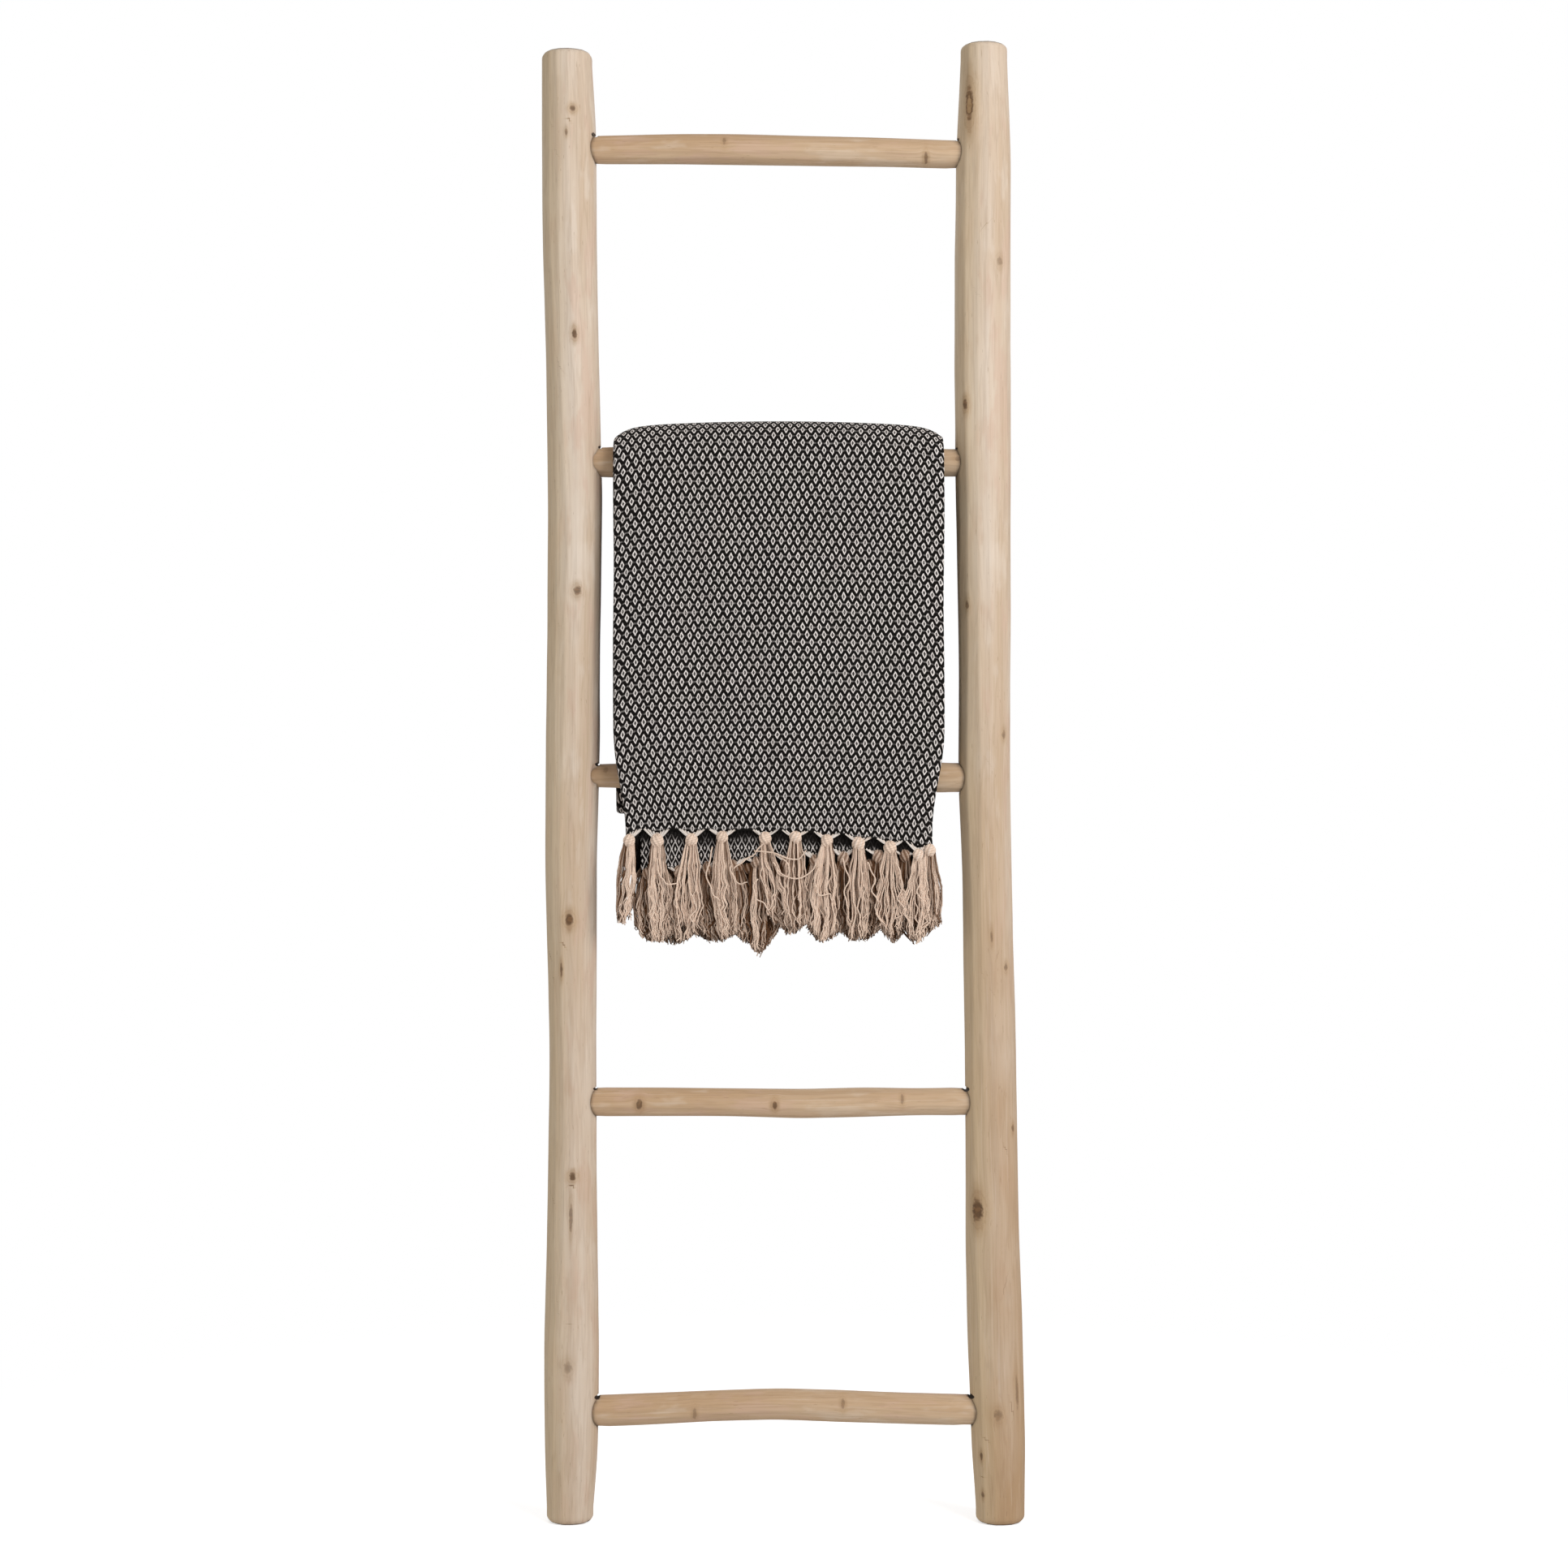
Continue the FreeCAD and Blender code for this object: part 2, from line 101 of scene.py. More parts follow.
FACET_FORWARD = 0.43                               # of its depth, from the rung's front to its middle

# Knots: (place along, share across from -1 to 1, half width, half length, darkness), seen from the front.
# The first is a height in mm on a rail, and a place from the middle in mm on a rung.
RAIL_KNOTS = {
    LEFT: (
        (1430, 0.23, 3.2, 3.0, 0.75), (1406, -0.03, 1.6, 3.4, 0.55), (1203, 0.16, 2.6, 5.0, 0.85),
        (944, 0.18, 4.0, 4.6, 0.7), (612, -0.03, 4.2, 6.0, 0.92), (561, -0.38, 1.5, 6.5, 0.7),
        (353, 0.06, 3.6, 4.0, 0.85), (312, 0.0, 2.0, 15.0, 0.5), (161, -0.07, 4.5, 6.0, 0.35),
    ),
    RIGHT: (
        (1436, -0.62, 4.4, 17.5, 1.0), (1276, 0.56, 4.0, 5.0, 0.35), (1132, -0.66, 3.0, 5.5, 0.8),
        (930, -0.69, 2.6, 5.0, 0.6), (799, 0.72, 3.0, 4.5, 0.45), (595, 0.08, 1.6, 6.0, 0.45),
        (564, 0.64, 2.6, 4.0, 0.5), (401, 0.78, 2.0, 4.0, 0.55), (319, -0.6, 6.0, 12.0, 0.92),
        (135, 0.7, 2.4, 18.0, 0.4), (113, -0.04, 5.0, 5.5, 0.4), (70, -0.69, 2.4, 4.0, 0.7),
        (31, -0.71, 2.4, 3.4, 0.6),
    ),
}
RUNG_KNOTS = {
    "rung_1": ((144, -0.55, 7.0, 2.0, 0.6), (-60, 0.4, 5.0, 1.8, 0.35)),
    "rung_2": ((176, 0.2, 3.0, 3.0, 0.3),),
    "rung_3": ((-180, 0.5, 4.0, 2.5, 0.25),),
    "rung_4": ((-146, -0.1, 6.0, 3.0, 0.75), (-9, -0.05, 5.0, 2.4, 0.8), (120, 0.3, 6.0, 1.6, 0.35)),
    "rung_5": ((-90, -0.3, 7.0, 2.0, 0.35), (60, 0.35, 6.0, 2.0, 0.4)),
}
# Dark joints, partly painted shade in their gaps: (darkness, how far it fades) on a rail round a rung, round a pin, and
# on a rung
SOCKET_STAIN_AND_SHADE, PIN_STAIN_AND_SHADE, RUNG_STAIN_AND_SHADE = (0.55, 0.9 * MM), (0.6, 0.8 * MM), (0.6, 1.1 * MM)
# Painted shade that darkens the wood grows downwards from a height over a span in metres: all over, in the lower part,
# at the foot
LOW_SHADE_ZONES = ((1.0, 0.6), (0.35, 0.3))
LOW_SHADE = {LEFT: (0.0, 0.6, 0.0), RIGHT: (0.3, 1.4, 0.7)}
# Depths in a rail: how deep a knot lifts it, where the painted shade inside a socket begins, and of its sawn ends
KNOT_SKIN, SOCKET_SKIN, SAWN_SKIN = 2.0 * MM, 2.5 * MM, 0.3 * MM
RUNG_KNOT_RISE = 0.6 * MM
BACK_KNOTS = 7                  # on the rails' sides and backs, which the photograph doesn't show

# ---- Throw: a cloth of four panels by two halves, folded into eight layers over rung 2 ----
LAYERS = 8
CLOTH = 1.0 * MM
CROWN_FALL = 6.0 * MM
CROWN_CORNER_FALL = 11 * MM
RUNG_CLEARANCE = 0.9 * MM       # of the innermost layer's middle from the rung's surface
# Hem heights as (share of the width, height in mm) of the front layer, of the second, then of the others inwards
FRONT_HEM = ((0.0, 702.5), (0.55, 701), (0.72, 697), (0.85, 691.5), (1.0, 688))
SECOND_HEM = ((0.0, 661), (0.2, 665.5), (0.29, 671), (0.42, 674), (0.52, 679.5), (0.7, 683), (1.0, 679))
INNER_HEMS = (
    ((0.0, 668), (1.0, 672)), ((0.0, 672), (1.0, 664)), ((0.0, 666), (1.0, 659)),
    ((0.0, 659), (1.0, 662)), ((0.0, 664), (1.0, 656)), ((0.0, 657), (1.0, 660)),
)
BACK_FOLD = 719 * MM
HEM_SHADE = (12.5 * MM, 3.5 * MM)                  # how deep the front hem's shadow falls, and its soft edge
SCALLOP = 4.2 * MM              # how far the hem is drawn down at each knot
TAPER_FROM = 800 * MM           # below this height the front flap narrows towards its hem
TAPER = 11.5 * MM
BACK_TAPER_FROM, BACK_TAPER = 800 * MM, 8 * MM     # the back flap narrows on the right only
SECOND_INSET = 15 * MM          # the inner left fold lies this much further in at the hem
BELLY = 2.0 * MM
RIPPLE = 1.5 * MM               # depth of the soft folds down each face
BROAD_FOLDS, FINE_FOLDS, FINE_SHARE = 2.3, 5.2, 0.45   # folds across the width, and how deep the fine ones are
SIDE_GAP, FRONT_GAP = 1.2 * MM, 3.2 * MM           # of the cloth's middle from the solid's sides and front
DRIFT = 0.5 * MM                # how far each layer wanders sideways on its way down
FRONT_ROWS, CROWN_ROWS, BACK_ROWS, FOLD_ROWS, INNER_FRONT_ROWS = 46, 15, 41, 8, 42
HEM_ROWS, HEM_ROWS_SHARE = 5, 0.045                # closer rows, on the front flap's lowest part
BACK_SWELL_DROP = 0.3           # the back flap swells as if its hem hung this much below its fold
FRONT_HEM_HEIGHT = 700 * MM     # where the front flap has its full taper

DIAMOND_WIDE = 8.4 * MM
DIAMOND_HIGH = 15.5 * MM

# Tassels under the front hem: (x, knot's middle, end's shift, length, half width of the cut end), in mm
FRONT_TASSELS = (
    (-155, 692, -7, 84, 9), (-127, 692, 1, 104, 12), (-92.5, 693, -2, 98, 12.5), (-61.5, 695.5, 4, 103, 13.5),
    (-18.5, 694.5, 14, 84, 13), (12, 695.5, 1, 98, 11), (43.5, 692, -3, 102, 14), (75, 689, -1, 98, 13),
    (107, 685, 1, 88, 15), (135.5, 677.5, -4, 90, 12), (147, 682.5, 5, 84, 9),
)
SECOND_TASSELS = (
    (-137, 659, 3, 67, 14), (-104, 660.5, 2, 68, 15), (-77, 663, 5, 66, 14), (-51, 666, -3, 70, 14),
    (-27, 670, 1, 92, 10), (3, 670, 3, 74, 14), (31, 672, -4, 80, 14), (60, 674, 2, 78, 14),
    (95.5, 676, 4, 80, 12), (122, 677, -2, 80, 13),
)
INNER_TASSELS = 11
FRINGE_END = 584 * MM           # how far down the tassels of the inner layers may reach
FRINGE_BOTTOM = (               # the lower outline of the whole fringe: (place from the middle, height) in mm
    (-171, 611), (-148, 606), (-140, 592), (-105, 588), (-90, 598), (-75, 591), (-61, 591), (-51, 598), (-41, 592),
    (-31, 583), (-26, 573), (-16, 584), (-9, 599), (-4, 607), (4, 598), (13, 600), (23, 611), (32, 592), (43, 591),
    (58, 601), (68, 592), (83, 592), (98, 603), (112, 588), (122, 603), (132, 588), (147, 600), (157, 609),
)
KNOT_RADIUS = 5.9 * MM
KNOT_SIDES, KNOT_RINGS, KNOT_TURNS = 42, 22, 7
FRONT_KNOT_OUT = 2.0 * MM
# Bunches: (strands, half their thickness, how much painted shade deepens their tone compared with the front ones)
FRONT_BUNCH, SECOND_BUNCH = (76, 4.6 * MM, 0.0), (52, 3.2 * MM, 0.44)
INNER_BUNCH, LAST_BUNCH = (32, 1.8 * MM, 0.58), (44, 1.8 * MM, 0.0)
# The two rows in view: (tassels, bunch, how far their knots and their warp ends stand in front of the hem's middle)
SEEN_ROWS = (
    (FRONT_TASSELS, FRONT_BUNCH, FRONT_KNOT_OUT, 0.9 * MM),
    (SECOND_TASSELS, SECOND_BUNCH, 0.6 * MM, 0.7 * MM),
)
# How far inside the throw's sides the strands stay, and the first and last tassel of the other rows
OUTER_LIMITS, INNER_LIMITS, INNER_SPOTS = (4 * MM, 2 * MM), (21 * MM, 9 * MM), (42 * MM, 32 * MM)
ROW_STAGGER, INNER_KNOT_DROP, INNER_HALF_WIDTH = 22 * MM, 4 * MM, 15 * MM
FRINGE_SEED, STRAY_SEED = 300, 911
LOCK_STRANDS = 9                # strands to a lock
LOCK_WAVE, LOCK_WAVE_LENGTH = 2.0 * MM, 55 * MM
STRAND_WAVE, SMALL_WAVE = 1.1 * MM, 0.5 * MM       # sideways, then out of the bunch and along it
CUT_UNEVENNESS, CURL = 1.3 * MM, 5.0 * MM          # at the strands' cut ends
PAST_LIMIT = 0.15               # how much stays of what a strand reaches past its limit
LOOSE_OUT = 6.6 * MM            # of the loose strands from the front knots
YARN_RADIUS = 0.6 * MM
WAVE_LENGTH = 27 * MM
WHISKERS, WHISKER_STEPS, WHISKER_REACH = 10, 7, 12.5 * MM
# Single strands that have come loose, as points (x, z) in mm over the front bunches
LOOSE_STRANDS = (
    ((-32, 682), (-14, 681), (-4, 678), (8, 673), (18, 674), (23, 684)),
    ((-50, 664), (-40, 672), (-30, 678), (-20, 690)),
    ((-12, 672), (-4, 660), (10, 653), (24, 657), (30, 664), (34, 676)),
    ((-10, 680), (2, 672), (8, 662), (2, 655), (-6, 660), (-8, 668)),
    ((-54, 668), (-50, 655), (-44, 648), (-36, 651)),
    ((-26, 655), (-31, 645), (-28, 634), (-20, 630), (-14, 622)),
    ((-128, 676), (-124, 656), (-116, 648), (-104, 650)),
    ((-70, 688), (-78, 660), (-72, 640), (-64, 632)),
    ((36, 668), (30, 650), (36, 636), (47, 640), (49, 630)),
    ((58, 676), (66, 655), (60, 638), (66, 622)),
    ((83, 672), (92, 655), (88, 640), (97, 630)),
    ((112, 672), (120, 650), (114, 634), (122, 622)),
    ((-94, 640), (-86, 626), (-94, 615), (-88, 604)),
    ((140, 660), (133, 642), (141, 628), (136, 612)),
)


def srgb(red, green, blue):
    """Linear colour of sRGB values from 0 to 255."""
    def linear(value):
        share = value / 255
        return share / 12.92 if share <= 0.04045 else ((share + 0.055) / 1.055) ** 2.4
    return linear(red), linear(green), linear(blue), 1.0


def ease(share):
    """Smooth step from 0 to 1."""
    share = np.clip(share, 0, 1)
    return share * share * (3 - 2 * share)


def wobble(along, length, seed, waves=5):
    """Smooth random curve of about -1 to 1 whose main wave has the given length."""
    rng = np.random.default_rng(seed)
    total = np.zeros_like(np.asarray(along, float))
    for wave in range(waves):
        size = 1 / (1 + 0.6 * wave)
        speed = 2 * math.pi / length * (0.6 + 0.55 * wave) * rng.uniform(0.85, 1.15)
        total += size * np.sin(speed * np.asarray(along) + rng.uniform(0, 2 * math.pi))
    return total / 1.9


# ---- Node helper: each method adds one shader node and returns its output socket ----
class Nodes:
    def __init__(self, name):
        self.material = bpy.data.materials.new(name)
        self.material.use_nodes = True
        self.tree = self.material.node_tree
        self.shader = self.tree.nodes["Principled BSDF"]

    def add(self, kind, inputs=(), **settings):
        made = self.tree.nodes.new("ShaderNode" + kind)
        for key, value in settings.items():
            setattr(made, key, value)
        for key, value in dict(inputs).items():
            self.feed(made.inputs[key], value)
        return made

    def feed(self, socket, value):
        if isinstance(value, bpy.types.NodeSocket):
            self.tree.links.new(value, socket)
        else:
            socket.default_value = value

    def attribute(self, name, output="Vector"):
        return self.add("Attribute", attribute_name=name).outputs[output]

    def math(self, operation, first, second=0.0):
        return self.add("Math", {0: first, 1: second}, operation=operation).outputs[0]

    def plus(self, first, second):
        return self.math("ADD", first, second)

    def minus(self, first, second):
        return self.math("SUBTRACT", first, second)

    def times(self, first, second):
        return self.math("MULTIPLY", first, second)

    def sine(self, value):
        return self.math("SINE", value)

    def hypot(self, first, second):
        return self.math("SQRT", self.plus(self.math("POWER", first, 2.0), self.math("POWER", second, 2.0)))

    def vector(self, operation, first, second=(0, 0, 0), output=0):
        return self.add("VectorMath", {0: first, 1: second}, operation=operation).outputs[output]

    def split(self, vector):
        return self.add("SeparateXYZ", {0: vector}).outputs

    def join(self, x, y, z):
        return self.add("CombineXYZ", {0: x, 1: y, 2: z}).outputs[0]

    def noise(self, vector, scale=1.0, detail=2.0, roughness=0.5, output="Fac"):
        inputs = {"Vector": vector, "Scale": scale, "Detail": detail, "Roughness": roughness}
        return self.add("TexNoise", inputs).outputs[output]

    def span(self, value, low, high, to_low=0.0, to_high=1.0):
        """Smooth remapping of low..high to to_low..to_high."""
        inputs = {"Value": value, "From Min": low, "From Max": high, "To Min": to_low, "To Max": to_high}
        return self.add("MapRange", inputs, interpolation_type="SMOOTHSTEP").outputs[0]

    def mix(self, share, first, second):
        made = self.add("Mix", data_type="RGBA")
        self.feed(made.inputs[0], share)
        self.feed(made.inputs[6], first)
        self.feed(made.inputs[7], second)
        return made.outputs[2]

    def bump(self, height, distance, strength):
        return self.add("Bump", {"Height": height, "Distance": distance, "Strength": strength}).outputs[0]

    def finish(self, **inputs):
        for key, value in inputs.items():
            self.feed(self.shader.inputs[key.replace("_", " ")], value)
        return self.material


# ---- Materials ----
def wood_material(name, pale, tan, dark, seed, painted_shade):
    """Unfinished teak. The grain attribute holds straightened places with the grain along its third number, and the
    last argument is how much painted shade darkens it low down and tints the side that its first number points
    away from."""
    n = Nodes(name)
    own_place = n.attribute("grain")
    grain = n.vector("ADD", own_place, (seed, 0.37 * seed, 0.11 * seed))

    def noise(scale, detail, roughness=0.5):
        return n.noise(n.vector("MULTIPLY", grain, scale), 1.0, detail, roughness)

    broad = noise((26, 26, 2.6), 3.0)
    figure = noise((95, 95, 5.0), 3.0, 0.6)
    lines = noise((620, 620, 9.0), 2.0, 0.65)
    flecks = noise((900, 900, 95.0), 1.0)
    patches = noise((14, 14, 7.0), 2.0)
    blush = noise((48, 48, 15.0), 3.0, 0.6)
    ragged = noise((420, 420, 260), 2.0)
    holes = noise((560, 560, 430), 1.0)
    rings = n.sine(n.times(n.plus(figure, n.times(broad, 1.6)), 34.0))
    # Painted shade: darker low down, in patches
    low_shade = n.times(n.attribute("low", "Fac"), n.span(patches, 0.3, 0.7, 0.55 * painted_shade, painted_shade))
    out_x, out_y, _ = n.split(own_place)
    # Painted shade: a darker, yellower tint on the side of the rail that faces away from the key light
    side_shade = n.span(out_x, 4 * MM, -23 * MM, 0.0, 1.5 * painted_shade)

    across, along, darkness = n.split(n.attribute("knot"))
    reach = n.plus(n.hypot(across, along), n.times(n.minus(ragged, 0.5), 1.1))
    halo = n.times(n.span(reach, 3.2, 0.8), n.times(darkness, 0.5))
    ring = n.times(n.span(n.sine(n.times(reach, 9.0)), 0.2, 1.0), n.span(reach, 2.6, 1.0, 0.0, 0.25))
    core = n.times(n.span(reach, 1.15, 0.55), darkness)
    smear = n.times(n.span(n.math("ABSOLUTE", along), 3.0, 0.6), n.span(n.math("ABSOLUTE", across), 1.3, 0.1))
    heart = n.times(n.span(reach, 0.72, 0.42), n.span(darkness, 0.93, 0.97))
    year = n.sine(n.times(n.plus(n.hypot(out_x, out_y), n.times(broad, 0.004)), 2100.0))
    sawn_end = n.mix(n.span(year, -0.3, 1.0, 0.0, 0.6), srgb(205, 180, 148), srgb(158, 124, 88))

    colour = n.mix(n.span(broad, 0.35, 0.68), pale, tan)
    for share, paint in (
        (n.span(patches, 0.52, 0.72, 0.0, 0.4), tan),
        (n.span(blush, 0.50, 0.66, 0.0, 0.55), n.mix(0.6, tan, srgb(212, 178, 160))),
        (n.span(blush, 0.46, 0.34, 0.0, 0.5), n.mix(0.3, pale, srgb(230, 218, 204))),
        # painted shade low down
        (low_shade, srgb(180, 148, 114)),
        # painted shade on the side away from the key light
        (side_shade, srgb(216, 192, 156)),
        (n.span(rings, 0.1, 1.0, 0.0, 0.12), dark),
        (n.span(lines, 0.5, 0.78, 0.0, 0.17), dark),
        (n.span(lines, 0.46, 0.25, 0.0, 0.15), srgb(238, 226, 212)),
        (n.span(flecks, 0.70, 0.80, 0.0, 0.45), dark),
        (halo, srgb(182, 146, 104)),
        (n.times(ring, darkness), srgb(146, 110, 74)),
        (core, n.mix(n.span(holes, 0.5, 0.66), srgb(54, 31, 17), srgb(112, 77, 48))),
        (n.times(n.times(smear, darkness), 0.5), srgb(132, 98, 64)),
        (heart, n.mix(ragged, srgb(138, 104, 70), srgb(186, 154, 114))),
        # dark joints with painted shade in their gaps, and painted shade inside the sockets and notches
        (n.times(n.attribute("stain_and_shade", "Fac"), 0.95), srgb(44, 30, 20)),
        (n.attribute("sawn", "Fac"), sawn_end),
    ):
        colour = n.mix(share, colour, paint)
    relief = n.plus(n.plus(n.times(lines, 0.7), n.times(flecks, -0.5)), n.times(core, -1.2))
    rough = n.span(lines, 0.3, 0.7, 0.58, 0.72)
    return n.finish(Base_Color=colour, Roughness=rough, Normal=n.bump(relief, 0.22 * MM, 0.75), Specular_IOR_Level=0.3)


def weave_material(name, inverted, seed):
    """Half-drop diamonds with an eye: pale ones on black, or inverted, black ones on pale."""
    n = Nodes(name)
    cloth = n.add("UVMap", uv_map="cloth").outputs[0]
    loose = n.noise(n.vector("ADD", cloth, (seed, 0, 0)), 22.0, 3.0, output="Color")
    tight = n.noise(n.vector("ADD", cloth, (0, seed, 0)), 210.0, 2.0, output="Color")
    placed = n.vector("ADD", cloth, n.vector("MULTIPLY", n.vector("SUBTRACT", loose, HALF), (3.0 * MM, 5.0 * MM, 0)))
    placed = n.vector("ADD", placed, n.vector("MULTIPLY", n.vector("SUBTRACT", tight, HALF), (1.3 * MM, 1.8 * MM, 0)))
    u, v, _ = n.split(n.vector("DIVIDE", placed, (DIAMOND_WIDE, DIAMOND_HIGH, 1)))
    first, second = n.plus(u, v), n.minus(u, v)
    first_cell, second_cell = n.math("ROUND", first), n.math("ROUND", second)
    first, second = n.minus(first, first_cell), n.minus(second, second_cell)
    sideways = n.math("ABSOLUTE", n.plus(first, second))
    upwards = n.math("ABSOLUTE", n.minus(first, second))
    own = n.add("TexWhiteNoise", {"Vector": n.join(first_cell, second_cell, seed)}).outputs["Value"]
    fuzz = n.times(n.minus(n.noise(cloth, 1100.0, 2.0), 0.5), 0.26)
    wide, high = (0.80, 0.83) if inverted else (0.535, 0.58)
    reach = n.plus(n.math("POWER", n.math("DIVIDE", sideways, wide), 1.05),
                   n.math("POWER", n.math("DIVIDE", upwards, high), 1.18))
    reach = n.plus(reach, fuzz)
    inside = n.span(reach, 1.10, 0.92)
    eye = n.span(reach, 0.38, 0.22) if inverted else n.span(reach, 0.56, 0.42)
    neck = n.times(n.span(upwards, 0.16, 0.05), n.span(own, 0.2, 0.9, 0.1, 0.5))
    picks = n.sine(n.times(n.split(cloth)[1], 2 * math.pi / (1.15 * MM)))
    ends = n.sine(n.times(n.split(cloth)[0], 2 * math.pi / (0.95 * MM)))
    pale = n.mix(n.span(own, 0.45, 1.0, 0.0, 0.26), srgb(243, 235, 230), srgb(146, 138, 132))
    pale = n.mix(n.span(picks, -1.0, 0.4, 0.30, 0.0), pale, srgb(124, 115, 110))
    black = n.mix(n.span(ends, 0.2, 1.0, 0.0, 0.25), srgb(13, 10, 8), srgb(40, 34, 31))
    if inverted:
        drawn = n.minus(1.0, n.times(inside, n.minus(1.0, eye)))
        drawn = n.times(drawn, n.span(picks, -1.0, 0.2, 0.55, 1.0))
    else:
        eye_dark = n.times(eye, n.span(own, 0.0, 0.4, 0.9, 1.0))
        drawn = n.times(inside, n.minus(1.0, eye_dark))
        drawn = n.math("MAXIMUM", drawn, n.times(neck, 0.5))
    ragged = n.times(n.minus(n.noise(cloth, 260.0, 1.0), 0.5), 4.0 * MM)
    drawn = n.times(drawn, n.span(n.plus(n.attribute("hem", "Fac"), ragged), 2.2 * MM, 3.8 * MM))
    colour = n.mix(drawn, black, pale)
    colour = n.mix(n.times(n.attribute("shade", "Fac"), 0.98), colour, srgb(16, 12, 10))
    relief = n.plus(n.plus(n.times(drawn, 0.8), n.times(picks, 0.16)), n.times(ends, 0.10))
    return n.finish(Base_Color=colour, Roughness=0.95, Normal=n.bump(relief, 0.45 * MM, 0.8), Specular_IOR_Level=0.15)


def yarn_material(name, pale, deep):
    """Twisted cotton yarn. Its tone attribute goes from 0, deep, over 0.8, pale, to 1, the cloth's own white."""
    n = Nodes(name)
    tone = n.attribute("tone", "Fac")
    twist = n.split(n.add("UVMap", uv_map="yarn").outputs[0])
    spiral = n.sine(n.plus(n.times(twist[0], 4 * math.pi),
                                  n.times(twist[1], 2 * math.pi / (1.6 * MM))))
    hairs = n.noise(n.add("TexCoord").outputs["Object"], 700.0, 2.0)
    colour = n.mix(n.span(tone, 0.0, 0.8), deep, pale)
    colour = n.mix(n.span(tone, 0.85, 1.0), colour, srgb(236, 228, 220))
    colour = n.mix(n.span(spiral, 0.2, 1.0, 0.0, 0.20), colour, deep)
    colour = n.mix(n.span(hairs, 0.5, 0.75, 0.0, 0.25), colour, deep)
    normal = n.bump(n.plus(spiral, hairs), 0.15 * MM, 0.6)
    return n.finish(Base_Color=colour, Roughness=0.9, Normal=normal, Specular_IOR_Level=0.2)


# ---- Mesh helpers ----
def mesh_object(name, points, faces, smooth=True):
    mesh = bpy.data.meshes.new(name)
    mesh.from_pydata([tuple(point) for point in points], [], [tuple(face) for face in faces])
    mesh.polygons.foreach_set("use_smooth", [smooth] * len(mesh.polygons))
    mesh.update()
    made = bpy.data.objects.new(name, mesh)
    bpy.context.scene.collection.objects.link(made)
    return made


def points_of(piece):
    flat = np.zeros(len(piece.data.vertices) * 3)
    piece.data.vertices.foreach_get("co", flat)
    return flat.reshape(-1, 3)


def set_attribute(piece, name, values):
    values = np.asarray(values, np.float32)
    kind, key = ("FLOAT_VECTOR", "vector") if values.ndim == 2 else ("FLOAT", "value")
    piece.data.attributes.new(name, kind, "POINT").data.foreach_set(key, values.ravel())


def set_map(piece, name, places):
    """A UV map that gives each point one place."""
    loops = np.zeros(len(piece.data.loops), int)
    piece.data.loops.foreach_get("vertex_index", loops)
    piece.data.uv_layers.new(name=name).data.foreach_set("uv", places[loops].ravel())


def full_turn(count):
    """Angles of equal steps round a circle."""
    return 2 * math.pi * np.arange(count) / count


def grid_faces(rows, columns, wrap):
    """Quads between rows of points, turning outwards; wrap closes each row into a ring."""
    row, column = np.meshgrid(np.arange(rows - 1), np.arange(columns if wrap else columns - 1), indexing="ij")
    after = (column + 1) % columns
    quads = [row * columns + column, row * columns + after, (row + 1) * columns + after, (row + 1) * columns + column]
    return np.stack(quads, axis=-1).reshape(-1, 4)


def cut(piece, cutter):
    """Cuts one closed mesh out of another, for good."""
    modifier = piece.modifiers.new("cut", "BOOLEAN")
    modifier.operation, modifier.solver, modifier.object = "DIFFERENCE", "EXACT", cutter
    depsgraph = bpy.context.evaluated_depsgraph_get()
    result = bpy.data.meshes.new_from_object(piece.evaluated_get(depsgraph))
    piece.modifiers.clear()
    piece.data = result
    bpy.data.objects.remove(cutter)


def dress(piece, body, slot, material, *nodes):
    """What every piece gets: its body, its material and the nodes that it stands for, which are hidden. slot is not
    used.
    """
    if not piece.data.materials:
        piece.data.materials.append(material)
    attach(piece, body)
    if nodes:
        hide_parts(*nodes)
    return piece


